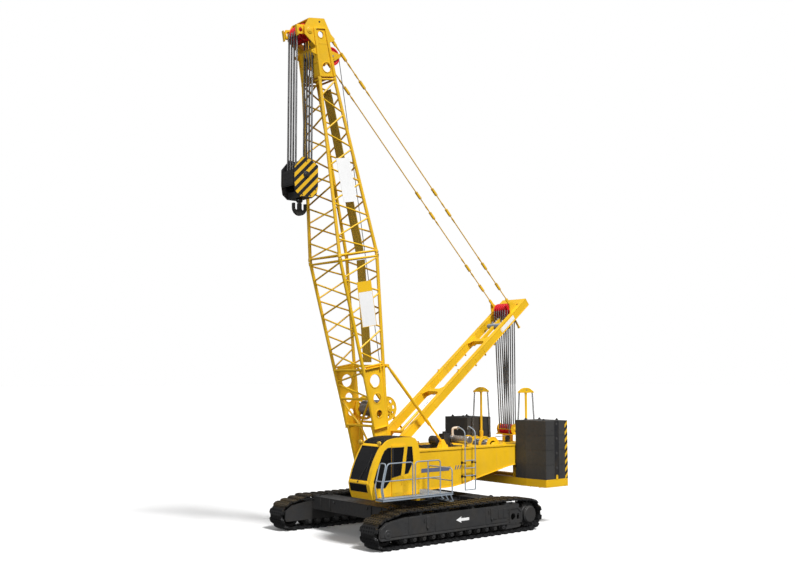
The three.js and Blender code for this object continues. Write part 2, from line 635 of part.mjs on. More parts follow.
function walkway() {
  const inner = CAB_LEFT + DOOR_THICK + 55;
  const beside = box([CAB_REAR, WALK.front], [inner, WALK_EDGE], [WALK.bottom, WALK.top]);
  const behind = box([WALK.rear, CAB_REAR - 90], [DECK_HALF + GAP, WALK_EDGE], [WALK.bottom, WALK.top]);
  const bridge = box([CAB_REAR - 100, CAB_REAR + 10], [inner, WALK_EDGE], [WALK.bottom, WALK.top]);
  const arm = box([1200, 1280], [CROSS_BEAM.end + GAP, WALK_EDGE - 100], [WALK.bottom - 100, WALK.bottom + 10]);
  const edge = WALK_EDGE - 30;
  const rails = [
    railing(
      [[WALK.front - 30, inner + 40], ...[WALK.front - 30, ...RAIL_POSTS.front].map((x) => [x, edge])],
      RAIL_TOP, RAIL_MIDDLE,
    ),
    railing(RAIL_POSTS.rear.map((x) => [x, edge]), RAIL_TOP, RAIL_MIDDLE),
    railing([[WALK.rear + 30, edge], [WALK.rear + 30, DECK_HALF + 250]], RAIL_TOP - 330, RAIL_MIDDLE - 180),
  ];
  const [stepX, stepTop] = [WALK.rear + STEPS.behind, WALK.bottom + 20];
  const steps = [edge, edge - STEPS.width].map((y) => {
    return rod(vec(stepX, y, stepTop), vec(stepX - STEPS.run, y, STEPS.bottom), RAIL, 6);
  });
  const treads = [0.45, 0.95].map((t) => {
    const [x, z] = [stepX - STEPS.run * t, THREE.MathUtils.lerp(stepTop, STEPS.bottom, t)];
    return box([x - 70, x + 70], [edge - STEPS.width, edge], [z - 10, z + 15]);
  });
  return part("walkway", join(beside, behind, bridge, arm, rails, steps, treads), PAINT.rail);
}

function ladder() {
  const { x, y, bottom, top, rungs } = LADDER;
  const side = (at) => [
    rod(vec(at, y, bottom), vec(at, y, top), RAIL, 6),
    rod(vec(at, y, top - 10), vec(at, y - 420, top + 190), RAIL, 6),
    rod(vec(at, y - 420, top + 200), vec(at, y - 440, top + 40), RAIL, 6),
  ];
  const across = [];
  for (let i = 0; i < rungs; i++) {
    const z = bottom + 15 + (i * (DECK_TOP - bottom)) / rungs;
    across.push(rod(vec(x[0], y, z), vec(x[1], y, z), RAIL - 4, 4));
  }
  const brackets = [2000, 2900].flatMap((z) => x.map((at) => {
    return box([at - 20, at + 20], [DECK_HALF - DECK_OVERHANG + GAP, y], [z - 20, z + 20]);
  }));
  return part("ladder", join(x.map(side), across, brackets), PAINT.rail);
}

// ---------------------------------------------------------------- cab
// An outline moved inwards by a distance, whichever way round it runs.
function inset(points, distance) {
  const area = points.reduce((sum, [ax, az], i) => {
    const [bx, bz] = points[(i + 1) % points.length];
    return sum + ax * bz - bx * az;
  }, 0);
  const sign = Math.sign(area);
  const lines = points.map((a, i) => {
    const b = points[(i + 1) % points.length];
    const [dx, dz] = minus(b, a);
    const length = Math.hypot(dx, dz);
    const [nx, nz] = [(-dz / length) * sign, (dx / length) * sign];
    return { x: a[0] + nx * distance, z: a[1] + nz * distance, dx, dz };
  });
  return lines.map((line, i) => {
    const before = lines.at(i - 1);
    const t = ((line.x - before.x) * line.dz - (line.z - before.z) * line.dx)
      / (before.dx * line.dz - before.dz * line.dx);
    return [before.x + before.dx * t, before.z + before.dz * t];
  });
}

function cabShell() {
  const outer = prism("y", CAB_OUTLINE, [CAB_RIGHT, CAB_LEFT]);
  const inner = prism("y", inset(CAB_OUTLINE, CAB_WALL), [CAB_RIGHT + CAB_WALL, CAB_LEFT - CAB_WALL]);
  return outer.subtract(inner);
}

function leftWall(extra) {
  return [CAB_LEFT - CAB_WALL - extra, CAB_LEFT + extra];
}

function rightWall(extra) {
  return [CAB_RIGHT - extra, CAB_RIGHT + CAB_WALL + extra];
}

function cabBody() {
  const openings = join(
    frontOpening(UPPER_SCREEN), frontOpening(LOWER_SCREEN),
    prism("y", FRONT_SIDE_WINDOW, leftWall(5)),
    prism("y", REAR_SIDE_WINDOW, leftWall(5)),
    prism("y", inset(DOOR_OUTLINE, 40), leftWall(5)),
    prism("y", RIGHT_WINDOW, rightWall(5)),
    box([CAB_REAR - 50, CAB_REAR + 200], REAR_SCREEN.y, REAR_SCREEN.z),
  );
  const belowRoof = box([0, 5000], [0, 4000], [0, ROOF_SEAM]);
  const rail = [CAB_LEFT - 5, CAB_LEFT + RUNNING + DOOR_THICK];
  const lower = box([DOOR_REAR_END, DOOR_FRONT_END], rail, [DOOR_BOTTOM - GAP - 40, DOOR_BOTTOM - GAP]);
  const solid = cabShell().intersect(belowRoof).subtract(openings).add(lower);
  return part("cab_body", solid, PAINT.yellow);
}

function cabRoof() {
  const aboveSeam = box([0, 5000], [0, 4000], [ROOF_SEAM + GAP, 5000]);
  return part("cab_roof", cabShell().intersect(aboveSeam).subtract(roofOpening(0)), PAINT.yellow);
}

function roofOpening(clear) {
  const { x, y, low } = ROOF_PANE;
  return box([x[0] + clear, x[1] - clear], [y[0] + clear, y[1] - clear], [low + clear, 5000]);
}

function roofPane() {
  const slab = between(12, 12 + 2 * PANE, [CAB_RIGHT, CAB_LEFT]);
  return part("roof_pane", slab.intersect(roofOpening(GAP)), PAINT.glass);
}

// The layer of the cab's wall between two depths below its outline.
function between(near, far, span) {
  const outer = prism("y", inset(CAB_OUTLINE, near), span);
  const inner = prism("y", inset(CAB_OUTLINE, far), [span[0] - 1, span[1] + 1]);
  return outer.subtract(inner);
}

function frontOpening({ z }, clear = 0) {
  const y = [CAB_RIGHT + SCREEN_FRAME.right + clear, CAB_LEFT - SCREEN_FRAME.left - clear];
  return box([2700, 5000], y, [z[0] + clear, z[1] - clear]);
}

function frontPane(name, screen) {
  const slab = between(12, 12 + PANE, [CAB_RIGHT, CAB_LEFT]);
  return part(name, slab.intersect(frontOpening(screen, GAP)), PAINT.glass);
}

function sidePane(name, outline, [from, to]) {
  const middle = (from + to) / 2;
  return part(name, prism("y", inset(outline, GAP), [middle - PANE / 2, middle + PANE / 2]), PAINT.glass);
}

function rearPane() {
  const slab = between(16, 16 + PANE, [CAB_RIGHT, CAB_LEFT]);
  const y = [REAR_SCREEN.y[0] + GAP, REAR_SCREEN.y[1] - GAP];
  const hole = box([CAB_REAR - 50, CAB_REAR + 200], y, [REAR_SCREEN.z[0] + GAP, REAR_SCREEN.z[1] - GAP]);
  return part("cab_rear_glass", slab.intersect(hole), PAINT.glass);
}

function doorSpan() {
  return [CAB_LEFT + RUNNING, CAB_LEFT + RUNNING + DOOR_THICK];
}

function cabDoor() {
  const panel = prism("y", DOOR_OUTLINE, doorSpan());
  const [from, to] = doorSpan();
  return part("cab_door", panel.subtract(prism("y", DOOR_WINDOW, [from - 1, to + 1])), PAINT.yellow);
}

function operatorSeat() {
  const { x, y } = SEAT;
  const floor = CAB_FLOOR + CAB_WALL + GAP;
  const base = box([x - 220, x + 200], [y - 210, y + 210], [floor, floor + 330]);
  const cushion = box([x - 260, x + 260], [y - 250, y + 250], [floor + 320, floor + 450]);
  const back = prism("y", [
    [x - 260, floor + 430], [x - 120, floor + 430], [x - 230, floor + 1120], [x - 340, floor + 1120],
  ], [y - 240, y + 240]);
  const arms = [-310, 250].map((offset) => {
    return box([x - 200, x + 260], [y + offset, y + offset + 60], [floor + 380, floor + 640]);
  });
  return part("operator_seat", join(base, cushion, back, arms), PAINT.trim);
}

// ---------------------------------------------------------------- boom, in its own frame: u along X, s along Z
function sizeAt(s) {
  const stations = [PLATE_LOW, PLATE_HIGH, JOINT, HEAD_BASE];
  const above = Math.max(1, stations.findIndex((station) => station.s >= s - 1e-6));
  const [a, b] = [stations[above - 1], stations[above]];
  const t = (s - a.s) / (b.s - a.s);
  return { width: THREE.MathUtils.lerp(a.width, b.width, t), depth: THREE.MathUtils.lerp(a.depth, b.depth, t) };
}

// A chord's middle at a station: side is 1 on the left, face is 1 at the front.
function chordAt(s, side, face) {
  const { width, depth } = sizeAt(s);
  return vec(face * (depth / 2 - CHORD_INSET), side * (width / 2 - CHORD_INSET), s);
}

function chords(stations) {
  const bars = [];
  for (const [side, face] of CORNERS) {
    for (let i = 1; i < stations.length; i++) {
      bars.push(rod(chordAt(stations[i - 1], side, face), chordAt(stations[i], side, face), CHORD, 6));
    }
  }
  return bars;
}

function crossFrame(s, radius = LACING) {
  return FACES.map(([a, b]) => rod(chordAt(s, ...a), chordAt(s, ...b), radius, 5));
}

// One zigzag on each of the four faces.
function zigzag(from, to, bays) {
  const bars = [];
  for (const [a, b] of FACES) {
    const outwards = a[0] === b[0] ? vec(0, a[0], 0) : vec(a[1], 0, 0);
    for (let i = 0; i < bays; i++) {
      const [low, high] = [i, i + 1].map((k) => THREE.MathUtils.lerp(from, to, k / bays));
      const [first, second] = i % 2 ? [b, a] : [a, b];
      const ends = [chordAt(low + LACING_GAP, ...first), chordAt(high - LACING_GAP, ...second)];
      bars.push(rod(...ends, LACING, 4, outwards));
    }
  }
  return bars;
}

function boomBase() {
  const below = box([-2000, 2000], [-2000, 2000], [-1000, JOINT.s - GAP / 2]);
  const cross = JOINT.s - SECTION_END;
  const legs = SIDES.map(([, way]) => prism("y", convex([
    ...arc(0, 0, FOOT_EYE.radius, 180, 360),
    [-PLATE_LOW.depth / 2, PLATE_LOW.s + 40], [PLATE_LOW.depth / 2, PLATE_LOW.s + 40],
  ]), onSide(way, FOOT_EYE.inner, FOOT_EYE.outer)));
  const bore = disc([0, 0], FOOT_PIN + RUNNING, [-1000, 1000], 24);
  const plates = SIDES.map(([, way]) => prism("y", [
    [-PLATE_LOW.depth / 2, PLATE_LOW.s - 60], [PLATE_LOW.depth / 2, PLATE_LOW.s - 60],
    [PLATE_HIGH.depth / 2, PLATE_HIGH.s], [-PLATE_HIGH.depth / 2, PLATE_HIGH.s],
  ], onSide(way, SIDE_PLATE_Y, SIDE_PLATE_Y + 25), PLATE_HOLES));
  const crossTube = (s, face) => rod(chordAt(s, 1, face), chordAt(s, -1, face), 50, 8);
  const front = [BRACES.low, BRACES.middle, PLATE_HIGH.s].map((s) => crossTube(s, 1));
  const rear = [BRACES.low, PLATE_HIGH.s].map((s) => crossTube(s, -1));
  const legFront = (s, way) => vec(THREE.MathUtils.lerp(60, PLATE_LOW.depth / 2 - 60, s / PLATE_LOW.s), way * 765, s);
  const footTie = rod(legFront(BRACES.foot, 1), legFront(BRACES.foot, -1), 50, 8);
  const braces = [[1, -1], [-1, 1]].flatMap(([a, b]) => [
    rod(legFront(BRACES.foot, a), chordAt(BRACES.low, b, 1), 40, 8),
    rod(chordAt(BRACES.low, a, 1), chordAt(BRACES.middle, b, 1), 36, 6),
  ]);
  return part("boom_base_section", join(
    legs, plates, front, rear, footTie, braces, chords([PLATE_LOW.s, PLATE_HIGH.s, JOINT.s + 20]),
    zigzag(PLATE_HIGH.s + 60, cross, BASE_BAYS), crossFrame(cross, 40), drumEars(), backstopEars(),
  ).subtract(bore).intersect(below), PAINT.yellow);
}

// Ears behind the rear chords that carry the hoist drum's shaft.
function drumEars() {
  const { u, s, ear } = HOIST_DRUM;
  const outline = convex([[-250, s - 330], [-250, s + 330], ...arc(u, s, 130, 90, 270)]);
  return SIDES.map(([, way]) => prism("y", outline, onSide(way, ear, ear + 60)));
}

function hoistDrum() {
  const { u, s, flange, barrel, half, ear } = HOIST_DRUM;
  const flanges = [-half, half - 40].map((y) => disc([u, s], flange, [y, y + 40]));
  const shaft = disc([u, s], 90, [-ear + GAP, ear - GAP], 16);
  return part("hoist_drum", join(flanges, disc([u, s], barrel, [-half, half]), shaft), PAINT.yellow);
}

function backstopEars() {
  const [u, s] = toBoom(BACKSTOP.top);
  const outline = convex([[u + 330, s - 110], [u + 330, s + 110], ...arc(u, s, 70, 90, 270)]);
  return SIDES.map(([, way]) => prism("y", outline, onSide(way, BACKSTOP.y - 100, BACKSTOP.y - 70)));
}

// A point of the crane's XZ plane in the boom's frame.
function toBoom([x, z]) {
  const tilt = rad(90 - BOOM_ANGLE);
  const [dx, dz] = [x - BOOM_FOOT.x, z - BOOM_FOOT.z];
  return [dx * Math.cos(tilt) - dz * Math.sin(tilt), dx * Math.sin(tilt) + dz * Math.cos(tilt)];
}

// The crane's XZ plane from a point in the boom's frame.
function fromBoom([u, s]) {
  const tilt = rad(90 - BOOM_ANGLE);
  return [
    BOOM_FOOT.x + u * Math.cos(tilt) + s * Math.sin(tilt),
    BOOM_FOOT.z - u * Math.sin(tilt) + s * Math.cos(tilt),
  ];
}

function boomTop() {
  const [low, high] = [JOINT.s + SECTION_END, HEAD_BASE.s - 100];
  const span = box([-2000, 2000], [-2000, 2000], [JOINT.s + GAP / 2, HEAD_BASE.s - GAP]);
  return part("boom_top_section", join(
    chords([JOINT.s - 20, HEAD_BASE.s]),
    zigzag(low, high, TOP_BAYS), crossFrame(low, 40), crossFrame(high, 40),
  ).intersect(span), PAINT.yellow);
}

function catwalk(name, from, to) {
  const lie = (s) => -(sizeAt(s).depth / 2 - CHORD_INSET) + LACING + GAP;
  const outline = [[lie(from), from], [lie(from) + 30, from], [lie(to) + 30, to], [lie(to), to]];
  return part(name, prism("y", outline, [-250, 250]), PAINT.grey);
}

// A blank plate that lies on the lacing of the boom's left face.
function sign(name, [from, to], [rear, front]) {
  const y = (s) => sizeAt(s).width / 2 - CHORD_INSET + LACING + GAP;
  const outline = [[y(from), from], [y(from) + 12, from], [y(to) + 12, to], [y(to), to]];
  return part(name, prism("x", outline, [rear, front]), PAINT.white);
}

function boomHead() {
  const outer = HEAD_BASE.width / 2;
  const main = [
    [-383, HEAD_BASE.s], [383, HEAD_BASE.s], [355, 16960], [470, 17070], [770, 17390], [740, 17680],
    [470, HEAD_TOP], [-230, HEAD_TOP], [-340, 17700], [-450, 17410], [-600, 17250], [-560, 17150], [-340, 17100],
  ];
  const holes = [[50, 17390, 125], [-30, 16140, 190], [20, 17870, 35]];
  const plates = SIDES.map(([, way]) => prism("y", main, onSide(way, outer - 40, outer), holes));
  const across = [-outer + 20, outer - 20];
  const front = prism("y", [[330, 15830], [370, 15830], [350, 16340], [310, 16340]], across);
  const window = new THREE.CylinderGeometry(195, 195, 400, 20).rotateZ(Math.PI / 2).translate(340, 0, 16080);
  const lid = box([-230, 470], across, [HEAD_TOP - 40, HEAD_TOP]);
  const floor = box([-383, 383], across, [HEAD_BASE.s, HEAD_BASE.s + 40]);
  const pinEars = SIDES.map(([, way]) => prism("y", convex([
    [-300, 17050], [-300, 17450], ...arc(BOOM_PIN.u, BOOM_PIN.s, 90, 90, 270),
  ]), onSide(way, PENDANT_Y - 90, PENDANT_Y - 60)));
  const earTies = SIDES.map(([, way]) => box([-330, -250], onSide(way, PENDANT_Y - 90, outer - 20), [17060, 17440]));
  const brackets = SIDES.map(([, way]) => [
    prism("y", [[600, 17420], [1030, 17420], [1030, 17720], [600, 17720]], onSide(way, 430, 460), [[850, 17580, 85]]),
    box([HEAD_FACE.u - 25, HEAD_FACE.u], onSide(way, 445 - HEAD_FACE.half, 445 + HEAD_FACE.half), HEAD_FACE.s),
    box([600, 700], onSide(way, 430, outer - 20), [17420, 17720]),
  ]);
  const lugs = SIDES.map(([, way]) => {
    return prism("y", convex([[330, 16620], [330, 16900], ...arc(500, 16750, 70, -90, 90)]), onSide(way, outer - 40, outer));
  });
  const yoke = SIDES.map(([, way]) => {
    return prism("y", convex([[-300, 16300], [-300, 16950], ...arc(GUIDE.u, GUIDE.s, 110, 90, 270)]), onSide(way, 60, 90));
  });
  const yokeTie = box([-360, -290], across, [16450, 16950]);
  const solid = join(plates, front, lid, floor, pinEars, earTies, brackets, lugs, yoke, yokeTie);
  const bore = disc([HEAD_AXLE.u, HEAD_AXLE.s], 70 + GAP, [-1000, 1000], 16);
  return part("boom_head", solid.subtract(solidOf(window)).subtract(bore), PAINT.yellow);
}

function headSheaves() {
  const { u, s } = HEAD_AXLE;
  const tilt = rad(90 - BOOM_ANGLE);
  const wheels = fallYs().map((y) => sheave([u, s], SHEAVE_RADIUS, y, -tilt, 20));
  const axle = disc([u, s], 70, [-HEAD_BASE.width / 2, HEAD_BASE.width / 2], 16);
  return part("head_sheaves", join(wheels, axle), PAINT.red);
}

function fallYs() {
  return Array.from({ length: FALL_SHEAVES }, (_, i) => (i - (FALL_SHEAVES - 1) / 2) * SHEAVE_PITCH);
}

function guideSheave() {
  const { u, s, radius } = GUIDE;
  return part("guide_sheave", join(sheave([u, s], radius, 0), disc([u, s], 45, [-60 + GAP, 60 - GAP], 12)), PAINT.red);
}

// ---------------------------------------------------------------- backstops, on the boom
function backstop(name, side) {
  const [x0, z0] = BACKSTOP.foot;
  const [x1, z1] = BACKSTOP.top;
  const y = side * BACKSTOP.y;
  const [dx, dz] = backstopAlong();
  const along = (d) => vec(x0 + dx * d, y, z0 + dz * d);
  const length = Math.hypot(x1 - x0, z1 - z0);
  const tube = rod(along(900), along(length - 260), BACKSTOP.radius, 12);
  const ram = rod(along(0), along(920), BACKSTOP.radius - 18, 12);
  const head = rod(along(length - 280), along(length - 40), 45, 10);
  const eye = disc([x1, z1], 65, [y - 40, y + 40], 12);
  const pin = disc([x1, z1], 32, onSide(side, BACKSTOP.y - 70 + GAP, BACKSTOP.y), 12);
  return part(name, join(tube, ram, head, eye, pin), PAINT.yellow);
}

// ---------------------------------------------------------------- mast, in its own frame: c along X, t along Z
function mastFrame() {
  const depth = LEG.depth / 2;
  const leg = ([, side]) => [
    box([-depth, depth], onSide(side, LEG.inner, LEG.outer), [520, MAST_LENGTH]),
    prism("y", convex([
      ...arc(0, 0, 120, 180, 360), [depth, 560], [-depth, 560],
    ]), onSide(side, MAST_EYE.inner, MAST_EYE.outer)),
    box([-depth, depth], onSide(side, LEG.inner, LEG.outer), [480, 620]),
  ];
  const ties = MAST_TIES.map((t) => box([-90, 90], [-LEG.outer, LEG.outer], [t - 90, t + 90]));
  const gussets = MAST_TIES.flatMap((t) => SIDES.map(([, side]) => {
    const points = [[LEG.inner - 260, t], [LEG.inner + 20, t - 300], [LEG.inner + 20, t + 300]];
    const span = side > 0 ? points : points.map(([y, z]) => [-y, z]).reverse();
    return prism("x", span, [60, 90]);
  }));
  const headTie = [9060, 9560].map((t) => box([-depth, depth], [-LEG.outer, LEG.outer], [t - 40, t + 40]));
  const { c, t } = MAST_PIN;
  const ears = SIDES.map(([, side]) => prism("y", convex([
    [depth - 40, t - 320], [depth - 40, t + 320], ...arc(c, t, 85, -60, 60),
  ]), onSide(side, PENDANT_Y + 45, PENDANT_Y + 85)));
  const bore = disc([0, 0], MAST_PIN_RADIUS + RUNNING, [-1000, 1000], 24);
  const spine = box([-60, 60], [-60, 60], [MAST_TIES[1], 9060]);
  return part("mast_frame", join(SIDES.map(leg), ties, gussets, headTie, ears, spine).subtract(bore)
    .subtract(luffWell()), PAINT.yellow);
}

// Room in the mast's middle tube for the luffing sheaves.
function luffWell() {
  const { c, t, radius } = LUFF_AXLE;
  return disc([c, t], radius + 25, [-LUFF_HALF, LUFF_HALF]);
}

function mastSheaves() {
  const { c, t, radius } = LUFF_AXLE;
  const wheels = [];
  for (let i = 0; i < LUFF_SHEAVES; i++) wheels.push(sheave([c, t], radius, luffSheaveY(i)));
  return part("mast_sheaves", join(wheels, disc([c, t], 60, [-LEG.inner + GAP, LEG.inner - GAP], 12)), PAINT.red);
}

// ---------------------------------------------------------------- pendants
function pendant(name, side) {
  const start = fromBoom([BOOM_PIN.u, BOOM_PIN.s]);
  const end = fromMast([MAST_PIN.c, MAST_PIN.t]);
  const y = side * PENDANT_Y;
  const at = (share) => [
    THREE.MathUtils.lerp(start[0], end[0], share), THREE.MathUtils.lerp(start[1], end[1], share),
  ];
  const bar = rod(vec(at(0.008)[0], y, at(0.008)[1]), vec(at(0.99)[0], y, at(0.99)[1]), PENDANT, 6);
  const links = LINKS.map((share) => link(at(share - 0.011), at(share + 0.011), 50, [y - 42, y + 42]));
  const eyes = [link(at(0), at(0.02), 60, [y - 30, y + 30]), link(at(0.98), at(1), 60, [y - 30, y + 30])];
  const pin = disc(start, 38, onSide(side, PENDANT_Y - 60 + GAP, PENDANT_Y), 12);
  return part(name, join(bar, links, eyes, pin), PAINT.yellow);
}

// The crane's XZ plane from a point in the mast's frame.
function fromMast([c, t]) {
  const lean = rad(MAST_ANGLE);
  return [
    MAST_FOOT.x + c * Math.sin(lean) - t * Math.cos(lean),
    MAST_FOOT.z + c * Math.cos(lean) + t * Math.sin(lean),
  ];
}

// ---------------------------------------------------------------- hook block
function hoistFalls() {
  const [x, top] = fromBoom([HEAD_AXLE.u, HEAD_AXLE.s]);
  const low = BLOCK.axle;
  const ropes = fallYs().flatMap((y) => [-1, 1].map((way) => {
    const at = x + way * (SHEAVE_RADIUS + ROPE + GAP);
    return rod(vec(at, y, low), vec(at, y, top), ROPE, 6, vec(1, 0, 0));
  }));
  const wheels = fallYs().map((y) => disc([x, low], SHEAVE_RADIUS + ROPE + 8, [y - 20, y + 20], 16));
  const axle = disc([x, low], 80, [-BLOCK.inside + GAP, BLOCK.inside - GAP], 16);
  return part("hoist_falls", join(ropes, wheels, axle), PAINT.steel);
}

function hookBlock() {
  const [x] = fromBoom([HEAD_AXLE.u, HEAD_AXLE.s]);
  const { half, inside, plate, bottom, top } = BLOCK;
  const outline = [
    [x - 260, bottom], [x + 260, bottom], [x + half - 60, bottom + 170], [x + half, bottom + 520],
    [x + half, top - 420], [x + 180, top], [x - 180, top - 60], [x - half, top - 250], [x - half, bottom + 420],
    [x - half + 60, bottom + 170],
  ];
  const cheeks = SIDES.map(([, side]) => prism("y", outline, onSide(side, inside, inside + plate)));
  const crosshead = box([x - 240, x + 240], [-inside - 5, inside + 5], [bottom, bottom + 250]);
  const covers = [-1, 1].map((way) => box(
    way > 0 ? [x + half - 60, x + half - 20] : [x - half + 20, x - half + 60],
    [-inside - 5, inside + 5], [bottom + 420, top - 500],
  ));
  const bore = upright([x, 0], HOOK.shank + 2, [bottom - 1, bottom + 251], 16);
  return part("hook_block", join(cheeks, crosshead, covers).subtract(bore), PAINT.black);
}

// A two-horned hook: an anchor-shaped plate under a round shank.
function hook() {
  const [x] = fromBoom([HEAD_AXLE.u, HEAD_AXLE.s]);
  const { shank, neck, eye, outer, half, bowl, horn } = HOOK;
  const shape = [
    ...arc(x, eye, outer, 180, 360), [x + outer - 20, eye + 150], [x + outer - 90, eye + 170],
    [x + outer - horn, eye + 20],
  ];
  const disk = prism("y", [...shape.slice(0, -3), [x + outer, eye + 160], [x - outer, eye + 160]], [-half, half]);
  const bowls = [-1, 1].map((way) => {
    return prism("y", [
      ...arc(x + way * bowl.x, eye - 20, bowl.radius, 180, 360), [x + way * bowl.x + bowl.radius, eye + 200],
      [x + way * bowl.x - bowl.radius, eye + 200],
    ], [-half - 1, half + 1]);
  });
  const stem = upright([x, 0], shank, [eye - 60, BLOCK.bottom + 200], 12);
  const collar = upright([x, 0], shank + 45, [neck, BLOCK.bottom - GAP], 12);
  const nut = upright([x, 0], shank + 60, [BLOCK.bottom + 250 + GAP, BLOCK.bottom + 320], 12);
  const through = upright([x, 0], shank, [BLOCK.bottom + 190, BLOCK.bottom + 300], 12);
  return part("hook", join(disk.subtract(join(bowls)), stem, collar, nut, through), PAINT.black);
}

// ---------------------------------------------------------------- assembly
function group(children, x = 0, z = 0, turn = 0) {
  const made = new THREE.Group();
  made.position.set(x, 0, z);
  made.rotation.y = turn;
  made.add(...children.flat());
  return made;
}

const undercarriage = group([
  carbody(), slewRing(),
  SIDES.map(([name, side]) => [
    track(`track_${name}`, (side * GAUGE) / 2),
    trackFrame(`track_frame_${name}`, (side * GAUGE) / 2),
    bottomRollers(`bottom_rollers_${name}`, (side * GAUGE) / 2),
    idler(`idler_${name}`, (side * GAUGE) / 2),
    travelDrive(`travel_drive_${name}`, (side * GAUGE) / 2, side),
  ]).flat(),
]);

const upper = group([
  revolvingFrame(), luffingSheaves(), boomHoistWinch(), engine(), airCleaner(), silencer(),
  SIDES.map(([name, side]) => [
    sideHousing(`side_housing_${name}`, side),
    counterweight(`counterweight_${name}`, side),
    liftingPost(`lifting_post_${name}`, side),
  ]).flat(),
  counterweightTray(), walkway(), ladder(),
  cabBody(), cabRoof(), roofPane(), operatorSeat(), rearPane(),
  frontPane("windscreen", UPPER_SCREEN), frontPane("lower_windscreen", LOWER_SCREEN),
  sidePane("cab_glass_left_front", FRONT_SIDE_WINDOW, leftWall(0)),
  sidePane("cab_glass_left_rear", REAR_SIDE_WINDOW, leftWall(0)),
  sidePane("cab_glass_right", RIGHT_WINDOW, rightWall(0)),
  cabDoor(), sidePane("cab_door_glass", DOOR_WINDOW, doorSpan()),
]);

const boom = group([
  boomBase(), boomTop(), boomHead(), headSheaves(), guideSheave(), hoistDrum(),
  catwalk("catwalk_base", PLATE_HIGH.s + 150, JOINT.s - SECTION_END - 60),
  catwalk("catwalk_top", JOINT.s + SECTION_END + 60, HEAD_BASE.s - 400),
  sign("sign_plate", ...SIGN), sign("notice_plate", ...NOTICE),
], BOOM_FOOT.x, BOOM_FOOT.z, rad(90 - BOOM_ANGLE));

const mast = group([mastFrame(), mastSheaves()], MAST_FOOT.x, MAST_FOOT.z, rad(MAST_ANGLE - 90));

const rigging = group([
  SIDES.map(([name, side]) => [pendant(`pendant_${name}`, side), backstop(`backstop_${name}`, side)]).flat(),
  hoistFalls(), hookBlock(), hook(),
]);

const crane = group([undercarriage, upper, boom, mast, rigging]);
crane.updateMatrixWorld(true);
const { min, max } = new THREE.Box3().setFromObject(crane);
crane.position.set(-(min.x + max.x) / 2, -(min.y + max.y) / 2, -min.z);

export default crane;
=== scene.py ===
"""Looks of the crawler crane: its materials and fine geometry, with the floor, the lights and the camera.

Metres. Places are given in four frames of the crane's own: DECK has its origin on the ground under the slew
axis, BOOM runs along the boom from its foot pins, MAST along the mast from its foot pins, and HOOK hangs
from the boom head's axle. X is forward, Y is left, and Z is up or along.
"""
import json
import math

import bmesh
import bpy
from mathutils import Matrix, Vector
from mathutils.geometry import tessellate_polygon


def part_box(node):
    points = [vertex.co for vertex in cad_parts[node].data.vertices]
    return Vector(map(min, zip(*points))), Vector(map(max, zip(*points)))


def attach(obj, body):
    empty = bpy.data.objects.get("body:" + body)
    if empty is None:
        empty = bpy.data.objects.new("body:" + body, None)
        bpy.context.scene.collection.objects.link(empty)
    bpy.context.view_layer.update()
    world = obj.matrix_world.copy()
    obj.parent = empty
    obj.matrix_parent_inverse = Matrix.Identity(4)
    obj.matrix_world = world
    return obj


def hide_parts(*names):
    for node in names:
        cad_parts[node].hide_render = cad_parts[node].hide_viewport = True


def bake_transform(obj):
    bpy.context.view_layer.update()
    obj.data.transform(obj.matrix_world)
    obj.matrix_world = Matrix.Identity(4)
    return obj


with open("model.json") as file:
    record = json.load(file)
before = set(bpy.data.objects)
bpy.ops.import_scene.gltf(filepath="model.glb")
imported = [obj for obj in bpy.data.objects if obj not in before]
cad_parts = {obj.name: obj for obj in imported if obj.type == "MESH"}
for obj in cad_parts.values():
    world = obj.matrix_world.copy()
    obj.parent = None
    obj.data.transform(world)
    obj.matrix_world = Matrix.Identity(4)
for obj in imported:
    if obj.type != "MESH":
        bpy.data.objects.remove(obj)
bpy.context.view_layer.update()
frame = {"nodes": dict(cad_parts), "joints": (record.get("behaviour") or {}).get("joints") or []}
JOINTS = {joint["name"]: joint for joint in frame["joints"]}

# ------------------------------------------------------------------ frames
BOOM_TILT = math.radians(90 - 79.77)
MAST_LEAN = math.radians(38.9)


def frame_at(joint, turn, drop=0.0):
    """The frame whose origin is a joint's place, turned about Y, and whose ground is drop lower."""
    x, y, z = JOINTS[joint]["pos_m"]
    return Matrix.Translation((x, y, z - drop)) @ Matrix.Rotation(turn, 4, "Y")


DECK = frame_at("slew", 0.0, JOINTS["slew"]["pos_m"][2])
BOOM = frame_at("boom_luff", BOOM_TILT)
MAST = frame_at("mast_luff", MAST_LEAN - math.pi / 2)
HOOK = frame_at("hook_block_swing", 0.0, JOINTS["hook_block_swing"]["pos_m"][2])
SIDES = (("left", 1), ("right", -1))


def span(side, a, b):
    """The stretch from a to b of y on a side."""
    return (a, b) if side > 0 else (-b, -a)


# ------------------------------------------------------------------ shapes
def circle(x, z, radius, sides=24):
    return [(x + radius * math.cos(2 * math.pi * i / sides), z + radius * math.sin(2 * math.pi * i / sides))
            for i in range(sides)]


def arc(x, z, radius, start, end, steps=8):
    """Points on a circle between two angles in degrees."""
    angles = [math.radians(start + (end - start) * i / steps) for i in range(steps + 1)]
    return [(x + radius * math.cos(a), z + radius * math.sin(a)) for a in angles]


def rounded(points, radius, steps=4, closed=False):
    """A line of points with each corner cut round."""
    out = []
    count = len(points)
    for i, point in enumerate(points):
        point = Vector(point)
        if not closed and i in (0, count - 1):
            out.append(point)
            continue
        back, ahead = Vector(points[i - 1]) - point, Vector(points[(i + 1) % count]) - point
        cut = min(radius, back.length * 0.45, ahead.length * 0.45)
        a, b = point + back.normalized() * cut, point + ahead.normalized() * cut
        for k in range(steps + 1):
            t = k / steps
            out.append((1 - t) ** 2 * a + 2 * t * (1 - t) * point + t * t * b)
    return out


